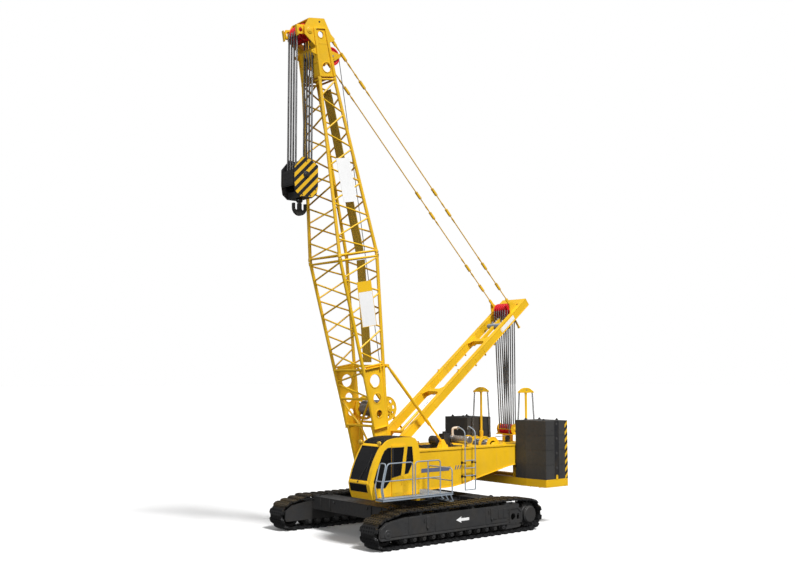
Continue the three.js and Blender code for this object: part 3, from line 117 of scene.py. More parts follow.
def rounded_box(x0, x1, z0, z1, radius):
    points = rounded([(x0, 0, z0), (x1, 0, z0), (x1, 0, z1), (x0, 0, z1)], radius, 3, closed=True)
    return [(p.x, p.z) for p in points]


def basis(along, near=None):
    """Two unit vectors square to a direction."""
    near = near or (Vector((0, 1, 0)) if abs(along.y) < 0.9 else Vector((1, 0, 0)))
    side = along.cross(near).normalized()
    return side, side.cross(along).normalized()


class Piece:
    """One mesh, gathered from closed shapes that are given in a frame's coordinates."""

    def __init__(self, name, body, material, place=DECK):
        self.name, self.body, self.material, self.place = name, body, material, place
        self.verts, self.faces = [], []

    def add(self, verts, faces):
        start = len(self.verts)
        self.verts += [self.place @ Vector(v) for v in verts]
        self.faces += [[start + i for i in face] for face in faces]
        return self

    def box(self, x, y, z):
        corners = [(a, b, c) for a in x for b in y for c in z]
        return self.add(corners, [(0, 1, 3, 2), (4, 6, 7, 5), (0, 4, 5, 1), (2, 3, 7, 6), (0, 2, 6, 4), (1, 5, 7, 3)])

    def prism(self, axis, outline, ends, holes=()):
        """An outline with holes, along an axis: points are (y, z) for x, (x, z) for y and (x, y) for z."""
        place = {"x": lambda a, b, c: (c, a, b), "y": lambda a, b, c: (a, c, b), "z": lambda a, b, c: (a, b, c)}[axis]
        loops = [[(p[0], p[1]) for p in outline]] + [list(hole) for hole in holes]
        flat = [point for loop in loops for point in loop]
        verts = [place(a, b, end) for end in ends for a, b in flat]
        count = len(flat)
        caps = tessellate_polygon([[Vector((a, b, 0)) for a, b in loop] for loop in loops])
        faces = [tuple(t) for t in caps] + [tuple(i + count for i in reversed(t)) for t in caps]
        start = 0
        for loop in loops:
            size = len(loop)
            for i in range(size):
                a, b = start + i, start + (i + 1) % size
                faces.append((a, b, b + count, a + count))
            start += size
        return self.add(verts, faces)

    def lathe(self, centre, axis, profile, sides=32, ring=False):
        """A profile of (distance along the axis, radius) turned about the axis."""
        along = Vector(axis).normalized()
        u, v = basis(along)
        verts, faces, rows = [], [], []
        for distance, radius in profile:
            middle = Vector(centre) + along * distance
            if radius < 1e-6:
                rows.append([len(verts)] * sides)
                verts.append(middle)
                continue
            rows.append(list(range(len(verts), len(verts) + sides)))
            for i in range(sides):
                a = 2 * math.pi * i / sides
                verts.append(middle + (u * math.cos(a) + v * math.sin(a)) * radius)
        pairs = list(zip(rows, rows[1:])) + ([(rows[-1], rows[0])] if ring else [])
        for low, high in pairs:
            for i in range(sides):
                k = (i + 1) % sides
                face = list(dict.fromkeys((low[i], low[k], high[k], high[i])))
                if len(face) > 2:
                    faces.append(face)
        if not ring:
            faces += [row for row in (rows[0], rows[-1]) if row[0] != row[1]]
        return self.add(verts, faces)

    def tube(self, a, b, radius, sides=14, end_radius=None):
        a, b = Vector(a), Vector(b)
        end_radius = radius if end_radius is None else end_radius
        return self.lathe(a, b - a, [(0, radius), ((b - a).length, end_radius)], sides)

    def sweep(self, points, radius, sides=10, closed=False):
        """A round bar along a line of points."""
        points = [Vector(p) for p in points]
        count = len(points)
        verts, faces = [], []
        up = None
        for i, point in enumerate(points):
            before = points[i - 1] if (i or closed) else point
            after = points[(i + 1) % count] if (i < count - 1 or closed) else point
            along = (after - before).normalized()
            side, up = basis(along, up)
            verts += [point + (side * math.cos(2 * math.pi * k / sides) + up * math.sin(2 * math.pi * k / sides)) * radius
                      for k in range(sides)]
        for i in range(count if closed else count - 1):
            low, high = i * sides, ((i + 1) % count) * sides
            faces += [(low + k, low + (k + 1) % sides, high + (k + 1) % sides, high + k) for k in range(sides)]
        if not closed:
            faces += [tuple(range(sides)), tuple(range((count - 1) * sides, count * sides))]
        return self.add(verts, faces)

    def bolts(self, centres, axis, radius=0.018, height=0.014):
        for centre in centres:
            self.lathe(centre, axis, [(-0.002, radius), (height, radius)], 6)
        return self

    def ball(self, centre, radius, sides=16):
        profile = [(radius * math.sin(math.radians(a)), radius * math.cos(math.radians(a))) for a in range(-90, 91,
                                                                                                           15)]
        return self.lathe(centre, (0, 0, 1), [(d, max(r, 0.0)) for d, r in profile], sides)

    def done(self, bevel=0.0, replaces=()):
        mesh = bpy.data.meshes.new(self.name)
        mesh.from_pydata([tuple(v) for v in self.verts], [], self.faces)
        work = bmesh.new()
        work.from_mesh(mesh)
        bmesh.ops.recalc_face_normals(work, faces=work.faces)
        work.to_mesh(mesh)
        work.free()
        mesh.shade_smooth()
        mesh.set_sharp_from_angle(angle=math.radians(32))
        piece = bpy.data.objects.new(self.name, mesh)
        bpy.context.scene.collection.objects.link(piece)
        mesh.materials.append(self.material)
        if bevel:
            add_bevel(piece, bevel)
        if self.body:
            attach(piece, self.body)
        if replaces:
            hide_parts(*replaces)
        return piece


def add_bevel(piece, width, segments=2):
    modifier = piece.modifiers.new("edges", "BEVEL")
    modifier.width = width
    modifier.segments = segments
    modifier.limit_method = "ANGLE"
    modifier.angle_limit = math.radians(38)
    modifier.use_clamp_overlap = True


# ------------------------------------------------------------------ materials
def shader(name, color, roughness, metallic=0.0, coat=0.0):
    material = bpy.data.materials.new(name)
    material.use_nodes = True
    surface = material.node_tree.nodes["Principled BSDF"]
    surface.inputs["Base Color"].default_value = (*color, 1)
    surface.inputs["Roughness"].default_value = roughness
    surface.inputs["Metallic"].default_value = metallic
    surface.inputs["Coat Weight"].default_value = coat
    surface.inputs["Coat Roughness"].default_value = 0.12
    return material, surface


def node(material, kind, **settings):
    made = material.node_tree.nodes.new(kind)
    for key, value in settings.items():
        if hasattr(made, key):
            setattr(made, key, value)
        else:
            made.inputs[key.replace("_", " ")].default_value = value
    return made


def wire(material, source, target):
    material.node_tree.links.new(source, target)


def noise(material, scale, detail=4.0, stretch=(1, 1, 1)):
    """Noise in the piece's own coordinates, finer along an axis where stretch is larger."""
    place = node(material, "ShaderNodeTexCoord")
    mapping = node(material, "ShaderNodeMapping", Scale=stretch)
    texture = node(material, "ShaderNodeTexNoise", Scale=scale, Detail=detail)
    wire(material, place.outputs["Object"], mapping.inputs["Vector"])
    wire(material, mapping.outputs["Vector"], texture.inputs["Vector"])
    return texture.outputs["Fac"]


def spread(material, source, low, high, start=0.35, end=0.65):
    """A source between start and end, spread over low to high."""
    made = node(material, "ShaderNodeMapRange")
    for socket, value in (("From Min", start), ("From Max", end), ("To Min", low), ("To Max", high)):
        made.inputs[socket].default_value = value
    wire(material, source, made.inputs["Value"])
    return made.outputs["Result"]


def blend_colors(material, factor, a, b):
    """Colours a and b, each a triple or a socket, mixed by a factor socket."""
    mix = node(material, "ShaderNodeMix", data_type="RGBA")
    wire(material, factor, mix.inputs["Factor"])
    for socket, value in ((mix.inputs[6], a), (mix.inputs[7], b)):
        if isinstance(value, tuple):
            socket.default_value = (*value, 1)
        else:
            wire(material, value, socket)
    return mix.outputs[2]


def bump(material, surface, height, strength, distance):
    made = node(material, "ShaderNodeBump", Strength=strength, Distance=distance)
    wire(material, height, made.inputs["Height"])
    wire(material, made.outputs["Normal"], surface.inputs["Normal"])


def paint(name, color, roughness=0.38, coat=0.25, dust=(0.35, 0.30, 0.24), dust_share=0.10, fade=0.88):
    """Machinery paint: cloudy fading, streaks that run down, a film of dust and a fine orange peel."""
    material, surface = shader(name, color, roughness, 0.0, coat)
    cloud = spread(material, noise(material, 0.9, 6), 0.0, 1.0)
    faded = blend_colors(material, cloud, tuple(c * fade for c in color), color)
    streak = spread(material, noise(material, 5.0, 5, (1, 1, 0.12)), 0.0, dust_share, 0.5, 0.75)
    wire(material, blend_colors(material, streak, faded, dust), surface.inputs["Base Color"])
    rough = spread(material, noise(material, 7.0, 5), roughness - 0.06, roughness + 0.12)
    wire(material, rough, surface.inputs["Roughness"])
    bump(material, surface, noise(material, 160.0, 2), 0.05, 0.002)
    return material


def worn_black(name, color, roughness, dust_share, grain):
    """Black paint or cast steel with a settled film of soil."""
    material, surface = shader(name, color, roughness, 0.0, 0.05)
    film = spread(material, noise(material, 2.2, 8), 0.0, dust_share, 0.42, 0.68)
    wire(material, blend_colors(material, film, color, (0.13, 0.09, 0.04)), surface.inputs["Base Color"])
    wire(material, spread(material, noise(material, 9.0, 6), roughness - 0.12, roughness + 0.15),
         surface.inputs["Roughness"])
    bump(material, surface, noise(material, grain, 5), 0.25, 0.004)
    return material


def track_steel():
    """Cast shoes: near black, with brown dirt on the faces that look up."""
    material, surface = shader("track_steel", (0.014, 0.014, 0.015), 0.55)
    facing = node(material, "ShaderNodeNewGeometry")
    parts = node(material, "ShaderNodeSeparateXYZ")
    wire(material, facing.outputs["Normal"], parts.inputs["Vector"])
    up = spread(material, parts.outputs["Z"], 0.0, 1.0, 0.55, 0.95)
    patch = spread(material, noise(material, 3.0, 6), 0.35, 1.0)
    place = node(material, "ShaderNodeSeparateXYZ")
    wire(material, facing.outputs["Position"], place.inputs["Vector"])
    high = spread(material, place.outputs["Z"], 0.0, 1.0, 0.5, 0.8)
    share = node(material, "ShaderNodeMath", operation="MULTIPLY")
    wire(material, up, share.inputs[0])
    wire(material, patch, share.inputs[1])
    upper = node(material, "ShaderNodeMath", operation="MULTIPLY")
    wire(material, share.outputs[0], upper.inputs[0])
    wire(material, high, upper.inputs[1])
    wire(material, blend_colors(material, upper.outputs[0], (0.012, 0.012, 0.013), (0.080, 0.052, 0.015)),
         surface.inputs["Base Color"])
    wire(material, spread(material, noise(material, 9.0, 6), 0.42, 0.7), surface.inputs["Roughness"])
    bump(material, surface, noise(material, 45.0, 5), 0.25, 0.004)
    return material


def chevrons(name, period, slope):
    """Black and yellow stripes that climb across the piece's X and Z."""
    material, surface = shader(name, (0.9, 0.5, 0.02), 0.4, 0.0, 0.2)
    place = node(material, "ShaderNodeTexCoord")
    parts = node(material, "ShaderNodeSeparateXYZ")
    wire(material, place.outputs["Object"], parts.inputs["Vector"])
    tilt = node(material, "ShaderNodeMath", operation="MULTIPLY_ADD")
    wire(material, parts.outputs["X"], tilt.inputs[0])
    tilt.inputs[1].default_value = slope
    wire(material, parts.outputs["Z"], tilt.inputs[2])
    share = node(material, "ShaderNodeMath", operation="DIVIDE")
    wire(material, tilt.outputs[0], share.inputs[0])
    share.inputs[1].default_value = period
    part = node(material, "ShaderNodeMath", operation="FRACT")
    wire(material, share.outputs[0], part.inputs[0])
    step = node(material, "ShaderNodeMath", operation="GREATER_THAN")
    wire(material, part.outputs[0], step.inputs[0])
    step.inputs[1].default_value = 0.5
    wire(material, blend_colors(material, step.outputs[0], (0.86, 0.5, 0.015), (0.012, 0.012, 0.016)),
         surface.inputs["Base Color"])
    wire(material, spread(material, noise(material, 8.0, 5), 0.32, 0.5), surface.inputs["Roughness"])
    return material


def rope_steel():
    """Wire rope: strands that wind round it, darker between them with painted shade in the grooves and some grease."""
    material, surface = shader("wire_rope", (0.25, 0.25, 0.26), 0.42, 0.75)
    place = node(material, "ShaderNodeTexCoord")
    wave = node(material, "ShaderNodeTexWave", bands_direction="DIAGONAL", Scale=22.0, Distortion=0.0)
    wire(material, place.outputs["Object"], wave.inputs["Vector"])
    patch = spread(material, noise(material, 0.8, 3), 0.25, 1.0, 0.3, 0.6)
    shade = node(material, "ShaderNodeMath", operation="MULTIPLY")
    wire(material, wave.outputs["Fac"], shade.inputs[0])
    wire(material, patch, shade.inputs[1])
    # the dark bands between the strands are painted shade in the grooves, with some grease; the light bands are the
    # strands' steel
    wire(material, blend_colors(material, shade.outputs[0], (0.05, 0.05, 0.05), (0.40, 0.40, 0.41)),
         surface.inputs["Base Color"])
    bump(material, surface, wave.outputs["Fac"], 0.6, 0.004)
    return material


def bare_steel():
    material, surface = shader("bare_steel", (0.55, 0.55, 0.56), 0.32, 0.9)
    grain = spread(material, noise(material, 40.0, 3, (0.05, 1, 1)), 0.24, 0.46)
    wire(material, grain, surface.inputs["Roughness"])
    heat = spread(material, noise(material, 3.0, 4), 0.0, 1.0)
    wire(material, blend_colors(material, heat, (0.47, 0.43, 0.38), (0.62, 0.62, 0.63)), surface.inputs["Base Color"])
    return material


def tinted_glass():
    material, surface = shader("dark_glass", (0.008, 0.008, 0.009), 0.06)
    surface.inputs["Alpha"].default_value = 0.93
    surface.inputs["Specular IOR Level"].default_value = 0.35
    wire(material, spread(material, noise(material, 4.0, 4), 0.04, 0.12), surface.inputs["Roughness"])
    return material


def rubber():
    material, surface = shader("black_rubber", (0.018, 0.018, 0.02), 0.65)
    wire(material, spread(material, noise(material, 30.0, 4), 0.5, 0.8), surface.inputs["Roughness"])
    bump(material, surface, noise(material, 220.0, 3), 0.2, 0.001)
    return material


def cloth():
    """Woven seat cloth."""
    material, surface = shader("seat_cloth", (0.03, 0.032, 0.036), 0.9)
    surface.inputs["Sheen Weight"].default_value = 0.3
    place = node(material, "ShaderNodeTexCoord")
    weave = node(material, "ShaderNodeTexChecker", Scale=260.0)
    wire(material, place.outputs["Object"], weave.inputs["Vector"])
    wire(material, blend_colors(material, weave.outputs["Fac"], (0.02, 0.021, 0.024), (0.05, 0.052, 0.058)),
         surface.inputs["Base Color"])
    bump(material, surface, weave.outputs["Fac"], 0.4, 0.001)
    return material


YELLOW = paint("yellow_paint", (0.95, 0.56, 0.010), 0.42, 0.08, dust_share=0.06)
GREY = paint("counterweight_grey", (0.046, 0.045, 0.044), 0.6, 0.05, (0.085, 0.08, 0.072), 0.2, 0.85)
RAIL = paint("rail_grey", (0.30, 0.35, 0.41), 0.42, 0.1)
RED = paint("sheave_red", (0.75, 0.014, 0.028), 0.4, 0.15)
WHITE = paint("blank_white", (0.95, 0.95, 0.95), 0.5, 0.05, dust_share=0.04, fade=0.97)
BLUE = paint("stripe_blue", (0.13, 0.15, 0.25), 0.45, 0.05)
KHAKI = paint("catwalk_mesh", (0.62, 0.43, 0.05), 0.6, 0.0)
LAMP = paint("amber_lens", (0.95, 0.62, 0.06), 0.2, 0.6)
BLACK = worn_black("black_paint", (0.032, 0.032, 0.033), 0.55, 0.06, 90.0)
SHOE = track_steel()
DARK = worn_black("engine_black", (0.016, 0.016, 0.018), 0.45, 0.15, 120.0)
STRIPES = chevrons("hazard_stripes", 0.36, 1.0)
EDGE_STRIPES = chevrons("edge_stripes", 0.30, 1.0)
ROPE = rope_steel()
STEEL = bare_steel()
GLASS = tinted_glass()
RUBBER = rubber()
CLOTH = cloth()


# ------------------------------------------------------------------ undercarriage
GAUGE = 5.9
SHOE_WIDTH = 0.99
SHOES = 50
BAND = 0.11
GROUSER = 0.028
SPROCKET = (-3.735, 0.62, 0.62)  # x, z and the radius over the shoes
IDLER = (3.5, 0.57, 0.57)
TOP_CORNERS = ((2.75, 1.17, 0.15), (-2.9, 1.17, 0.15))
FRAME_HALF = 0.43
FRAME_TOP = 1.105
FRAME_BOTTOM = 0.37
FRAME_REAR = -2.45
ROLLERS = 12
ROLLER_RADIUS = 0.19
ROLLER_SPAN = (-2.23, 2.7)


def hull(points):
    """The convex outline round some points, counterclockwise."""
    points = sorted(set(points))

    def half(line):
        chain = []
        for p in line:
            while len(chain) > 1 and ((chain[-1][0] - chain[-2][0]) * (p[1] - chain[-2][1])
                                      - (chain[-1][1] - chain[-2][1]) * (p[0] - chain[-2][0])) <= 0:
                chain.pop()
            chain.append(p)
        return chain[:-1]
    return half(points) + half(points[::-1])


def belt(offset):
    points = []
    for x, z, radius in (SPROCKET, IDLER, *TOP_CORNERS):
        points += circle(x, z, radius + offset, 120)
    return hull(points)


def belt_places(count, offset):
    """Evenly spaced frames on the belt: X runs along it, Y across it and Z outwards."""
    path = [Vector((x, 0, z)) for x, z in belt(offset)]
    steps = [(path[(i + 1) % len(path)] - path[i]).length for i in range(len(path))]
    pitch = sum(steps) / count
    places, travelled, want = [], 0.0, pitch * 0.42
    for i, step in enumerate(steps):
        while want <= travelled + step and len(places) < count:
            along = (path[(i + 1) % len(path)] - path[i]).normalized()
            point = path[i] + along * (want - travelled)
            out = Vector((along.z, 0, -along.x))
            places.append((point, along, out))
            want += pitch
        travelled += step
    return pitch, places


def track_shoes(name, side):
    """Cast shoes: a plate with scalloped ends, a raised pad with pockets, and lugs that the sprocket drives."""
    pitch, places = belt_places(SHOES, -GROUSER)
    middle = side * GAUGE / 2
    piece = Piece(f"track_shoes_{name}", "undercarriage", SHOE)
    half, reach = pitch * 0.43, SHOE_WIDTH / 2
    for point, along, out in places:
        turn = Matrix((along, Vector((0, 1, 0)), out)).transposed().to_4x4()
        lowest = point.z + min(0.0, out.z * GROUSER) - abs(along.z) * half * 0.8
        point = point + Vector((0, 0, max(0.0, 0.0005 - lowest)))
        piece.place = DECK @ Matrix.Translation(point + Vector((0, middle, 0))) @ turn
        plate = []
        for way in (1, -1):
            plate += [(way * half, -way * (reach - 0.11)), (way * half, way * (reach - 0.11)),
                      (way * half * 0.62, way * (reach - 0.07)), (way * half * 0.55, way * (reach - 0.015)),
                      (way * half * 0.40, way * reach), (-way * half * 0.40, way * reach),
                      (-way * half * 0.55, way * (reach - 0.015)), (-way * half * 0.62, way * (reach - 0.07))]
        piece.prism("z", plate, (-0.045, 0.0))
        pad = []
        for way in (1, -1):
            pad += [(way * half * 0.78, -way * (reach - 0.13)), (way * half * 0.78, way * (reach - 0.13)),
                    (way * half * 0.36, way * (reach - 0.03)), (-way * half * 0.36, way * (reach - 0.03))]
        pockets = []
        for row in range(6):
            y = (row - 2.5) * 0.135
            for x in (-0.40, 0.40):
                cx, r = x * half, 0.040
                pockets.append([(cx - r, y - r), (cx + r, y - r), (cx + r, y + r), (cx - r, y + r)])
        piece.prism("z", pad, (-0.001, GROUSER), pockets)
        for y in (-0.26, 0.26):
            piece.box((-half * 1.02, half * 1.02), (y - 0.045, y + 0.045), (-0.082, -0.04))
        for y in (-0.36, 0.36):
            piece.box((-half * 0.5, half * 0.5), (y - 0.04, y + 0.04), (-0.08, -0.04))
        for x in (-half * 0.97, half * 0.97):
            piece.tube((x, -0.42, -0.05), (x, 0.42, -0.05), 0.026, 8)
    piece.done(replaces=[f"track_{name}"])


def rollers(name, side):
    middle = side * GAUGE / 2
    centre = BAND + 0.0003 + ROLLER_RADIUS
    piece = Piece(f"track_rollers_{name}", "undercarriage", BLACK)
    reach = FRAME_HALF - 0.055
    profile = [(-reach, 0.07), (-reach + 0.03, 0.10), (-0.33, 0.10), (-0.33, 0.13), (-0.31, 0.15), (-0.22, 0.15),
               (-0.21, 0.186), (-0.15, 0.188), (-0.14, 0.15), (0.14, 0.15), (0.15, 0.188), (0.21, 0.186),
               (0.22, 0.15), (0.31, 0.15), (0.33, 0.13), (0.33, 0.10), (reach - 0.03, 0.10), (reach, 0.07)]
    for i in range(ROLLERS):
        x = ROLLER_SPAN[0] + (ROLLER_SPAN[1] - ROLLER_SPAN[0]) * i / (ROLLERS - 1)
        piece.lathe((x, middle, centre), (0, 1, 0), profile, 28)
    piece.box(ROLLER_SPAN, (middle - 0.06, middle + 0.06), (centre - 0.05, centre + 0.05))
    piece.done(replaces=[f"bottom_rollers_{name}"])

    saddles = Piece(f"roller_saddles_{name}", "undercarriage", BLACK)
    for i in range(ROLLERS):
        x = ROLLER_SPAN[0] + (ROLLER_SPAN[1] - ROLLER_SPAN[0]) * i / (ROLLERS - 1)
        for way in (1, -1):
            y = span(way, FRAME_HALF - 0.048, FRAME_HALF - 0.004)
            y = (middle + y[0], middle + y[1])
            saddle = [(x - 0.10, FRAME_BOTTOM + 0.03), (x - 0.075, 0.235), (x - 0.035, 0.20), (x + 0.035, 0.20),
                      (x + 0.075, 0.235), (x + 0.10, FRAME_BOTTOM + 0.03)]
            saddles.prism("y", saddle, y)
            end = middle + way * (FRAME_HALF - 0.004)
            saddles.lathe((x, end, centre), (0, way, 0), [(-0.02, 0.05), (0.012, 0.05), (0.022, 0.04)], 16)
            saddles.bolts([(x - 0.055, end, 0.335), (x + 0.055, end, 0.335)], (0, way, 0), 0.014)
    saddles.done(0.004)


def idler(name, side):
    middle = side * GAUGE / 2
    x, z, over = IDLER
    rim = over - BAND - 0.012
    piece = Piece(f"idler_wheel_{name}", "undercarriage", BLACK)
    web = [(-0.18, rim - 0.03), (-0.17, rim - 0.008), (-0.06, rim), (0.06, rim), (0.17, rim - 0.008),
           (0.18, rim - 0.03),
           (0.18, rim - 0.11), (0.10, rim - 0.13), (0.07, rim - 0.16), (0.07, 0.17), (0.15, 0.14), (0.15, 0.10),
           (-0.15, 0.10), (-0.15, 0.14), (-0.07, 0.17), (-0.07, rim - 0.16), (-0.10, rim - 0.13), (-0.18, rim - 0.11)]
    piece.lathe((x, middle, z), (0, 1, 0), web, 48, ring=True)
    reach = FRAME_HALF - 0.052
    piece.tube((x, middle - reach, z), (x, middle + reach, z), 0.09, 24)
    for i in range(8):
        a = math.radians(45 * i)
        dx, dz = math.cos(a), math.sin(a)
        for y in (-0.10, 0.10):
            outline = [(x + dx * r - dz * w, z + dz * r + dx * w)
                       for r, w in ((0.12, -0.018), (rim - 0.12, -0.018), (rim - 0.12, 0.018), (0.12, 0.018))]
            piece.prism("y", outline, (middle + y - 0.04, middle + y + 0.04))
    piece.done(replaces=[f"idler_{name}"])


def travel_drive(name, side):
    """A sprocket with two toothed rings, its reduction gear, the casing behind it and the hydraulic motor."""
    middle = side * GAUGE / 2
    x, z, over = SPROCKET
    tip = over - BAND - 0.012
    piece = Piece(f"sprocket_{name}", "undercarriage", BLACK)
    teeth = []
    for i in range(20):
        a = math.radians(18 * i)
        for turn, radius in ((-5.2, tip - 0.062), (-2.6, tip - 0.012), (0.0, tip), (2.6, tip - 0.012),
                             (5.2, tip - 0.062)):
            b = a + math.radians(turn)
            teeth.append((x + radius * math.cos(b), z + radius * math.sin(b)))
    bore = circle(x, z, 0.30, 40)
    for y in (-0.21, 0.21):
        piece.prism("y", teeth, (middle + y - 0.045, middle + y + 0.045), [bore])
    hub = [(-0.43, 0.0), (-0.43, 0.285), (-0.42, 0.30), (-0.395, 0.305), (-0.385, 0.335), (-0.27, 0.34),
           (-0.25, 0.37),
           (0.25, 0.37), (0.27, 0.34), (0.385, 0.335), (0.395, 0.305), (0.42, 0.30), (0.43, 0.285), (0.43, 0.0)]
    piece.lathe((x, middle, z), (0, 1, 0), hub, 48)
    for way in (1, -1):
        plate = [(-2.40, 1.0), (-3.05, 1.02), (-3.28, 0.80), (-3.28, 0.42), (-3.0, 0.30), (-2.40, 0.37)]
        y = span(way, 0.36, 0.405)
        y = (middle + y[0], middle + y[1])
        piece.prism("y", plate, y, [rounded_box(-3.12, -2.98, 0.50, 0.72, 0.03), circle(-2.78, 0.62, 0.13, 20)])
        casing = (min(y) - 0.12, max(y) - 0.012) if way > 0 else (min(y) + 0.012, max(y) + 0.12)
        piece.prism("y", [(-2.28, 1.02), (-3.10, 0.98), (-3.12, 1.08), (-2.85, 1.165), (-2.28, 1.165)], casing)
        piece.prism("y", [(-2.36, 0.40), (-3.02, 0.34), (-3.24, 0.30), (-3.16, 0.20), (-2.36, 0.17)], casing)
        rib = (min(y) - 0.002, max(y) + 0.022) if way > 0 else (min(y) - 0.022, max(y) + 0.002)
        piece.prism("y", [(-2.42, 0.96), (-2.42, 0.90), (-3.02, 0.92), (-3.20, 0.77), (-3.20, 0.46), (-3.27, 0.46),
                          (-3.27, 0.80),
                          (-3.05, 0.99)], rib)
        piece.prism("y", [(-2.55, 0.42), (-2.55, 0.90), (-2.61, 0.90), (-2.61, 0.42)], rib)
        end = middle + way * 0.405
        piece.bolts([(x, end, z) for x, z in ((-2.50, 0.80), (-2.50, 0.55), (-2.92, 0.38), (-3.10, 0.85),
                                              (-2.75, 0.95))],
                    (0, way, 0), 0.024, 0.022)
    piece.prism("y", [(x, z - 0.15), (-2.62, 0.47), (FRAME_REAR - 0.001, 0.47), (FRAME_REAR - 0.001, 0.88),
                      (-2.75, 0.88), (x, z + 0.2)], (middle - 0.16, middle + 0.16))
    piece.done(0.004, replaces=[f"travel_drive_{name}"])

    near, far = GAUGE / 2 - 0.10, GAUGE / 2 + 0.33
    motor = Piece(f"travel_motor_{name}", "undercarriage", DARK)
    at = Vector((SPROCKET[0] + 0.76, 0, 0.72))
    profile = [(near, 0.12), (near + 0.02, 0.165), (near + 0.13, 0.17), (near + 0.15, 0.14), (near + 0.22, 0.14),
               (near + 0.23, 0.165), (near + 0.33, 0.165), (near + 0.35, 0.13), (far - 0.03, 0.13), (far, 0.10)]
    motor.lathe((at.x, 0, at.z), (0, side, 0), profile, 28)
    motor.bolts([(at.x + 0.14 * math.cos(a), side * (near + 0.33), at.z + 0.14 * math.sin(a))
                 for a in (math.radians(k) for k in range(20, 380, 60))], (0, side, 0), 0.014, 0.012)
    for i, (dx, dz) in enumerate(((0.06, 0.10), (-0.02, 0.12), (0.10, 0.02))):
        y = side * (near + 0.20 + 0.06 * i)
        motor.sweep(rounded([(at.x + dx, y, at.z + dz), (at.x + dx, y, at.z + dz + 0.16),
                             (FRAME_REAR + 0.05 - 0.07 * i, y, at.z + 0.24 - 0.06 * i),
                             (FRAME_REAR + 0.02, y, at.z + 0.20 - 0.08 * i)], 0.12), 0.022, 8)
    motor.done()


def frame_trim(name, side):
    """What stands on a track frame's outer plate: panels between seams, ledges, brackets and a white arrow."""
    face = side * (GAUGE / 2 + FRAME_HALF)
    out = (0, side, 0)
    panel = Piece(f"track_frame_panels_{name}", "undercarriage", BLACK)
    skin = span(side, GAUGE / 2 + FRAME_HALF - 0.002, GAUGE / 2 + FRAME_HALF + 0.014)
    top = lambda x: 1.075 if x < 1.7 else 1.075 - (x - 1.7) * 0.022  # noqa: E731
    for a, b in ((-2.42, -1.265), (-1.215, 1.305), (1.355, 2.545)):
        panel.prism("y", [(a, 0.47), (b, 0.47), (b, top(b)), (a, top(a))], skin)
    panel.prism("y", [(2.595, 0.47), (3.80, 0.47), (3.84, 0.52), (3.83, 0.77), (3.53, 0.95), (2.80, top(2.8)),
                      (2.595, top(2.595))], skin)
    ledge = span(side, GAUGE / 2 + FRAME_HALF - 0.002, GAUGE / 2 + FRAME_HALF + 0.045)
    panel.box((FRAME_REAR, 3.84), ledge, (FRAME_BOTTOM, FRAME_BOTTOM + 0.035))
    panel.box((FRAME_REAR, 3.80), span(side, GAUGE / 2 + FRAME_HALF - 0.002, GAUGE / 2 + FRAME_HALF + 0.025),
              (FRAME_BOTTOM + 0.035, FRAME_BOTTOM + 0.055))
    for x in (-1.2, 1.35, 2.6):
        panel.bolts([(x + 0.10, face + side * 0.014, z) for z in (0.60, 0.75, 0.90)], out, 0.016, 0.012)
    panel.bolts([(x, face + side * 0.014, 0.51) for x in (-2.1, -1.6, -0.9, 0.0, 0.9, 1.7, 2.2, 2.9, 3.4)], out,
                0.012, 0.008)
    panel.lathe((IDLER[0], face, IDLER[1]), out,
                [(0.0, 0.17), (0.028, 0.17), (0.04, 0.155), (0.04, 0.06), (0.05, 0.05)], 32)
    panel.bolts([(IDLER[0] + 0.13 * math.cos(a), face + side * 0.03, IDLER[1] + 0.13 * math.sin(a))
                 for a in (math.radians(k) for k in range(0, 360, 60))], out, 0.014, 0.014)
    for x in (1.62, -1.62):
        panel.prism("y", [(x - 0.06, 1.03), (x + 0.12, 1.03), (x + 0.12, 0.66), (x + 0.05, 0.55), (x, 0.60),
                          (x - 0.06, 0.80)],
                    span(side, GAUGE / 2 + FRAME_HALF + 0.012, GAUGE / 2 + FRAME_HALF + 0.045))
        panel.tube((x + 0.06, face + side * 0.02, 0.64), (x + 0.06, face + side * 0.062, 0.64), 0.035, 12)
        panel.sweep(rounded([(x + 0.22, face + side * 0.01, 0.96), (x + 0.22, face + side * 0.05, 0.96),
                             (x + 0.22, face + side * 0.05, 0.84), (x + 0.22, face + side * 0.01, 0.84)], 0.02),
                             0.012, 8)
    for x in (-2.30, -1.75, -2.02):
        panel.prism("y", [(x - 0.09, 0.62), (x + 0.09, 0.62), (x + 0.09, 0.98), (x - 0.09, 0.98)],
                    span(side, GAUGE / 2 + FRAME_HALF + 0.012, GAUGE / 2 + FRAME_HALF + 0.032))
    panel.done(0.005)

    arrow = Piece(f"direction_arrow_{name}", "undercarriage", WHITE)
    arrow.prism("y", [(0.27, 0.77), (0.01, 0.885), (0.035, 0.82), (-0.38, 0.82), (-0.38, 0.72), (0.035, 0.72),
                      (0.01, 0.655)], span(side, GAUGE / 2 + FRAME_HALF + 0.012, GAUGE / 2 + FRAME_HALF + 0.017))
    arrow.done()

    carrier = Piece(f"carrier_rollers_{name}", "undercarriage", BLACK)
    middle = side * GAUGE / 2
    for x in (-2.0, -0.7, 0.6, 1.9):
        carrier.lathe((x, middle, 1.11), (0, 1, 0), [(-0.34, 0.04), (-0.33, 0.075), (-0.255, 0.075), (-0.25, 0.04)],
                      20)
        carrier.lathe((x, middle, 1.11), (0, 1, 0), [(0.25, 0.04), (0.255, 0.075), (0.33, 0.075), (0.34, 0.04)], 20)
    carrier.done()


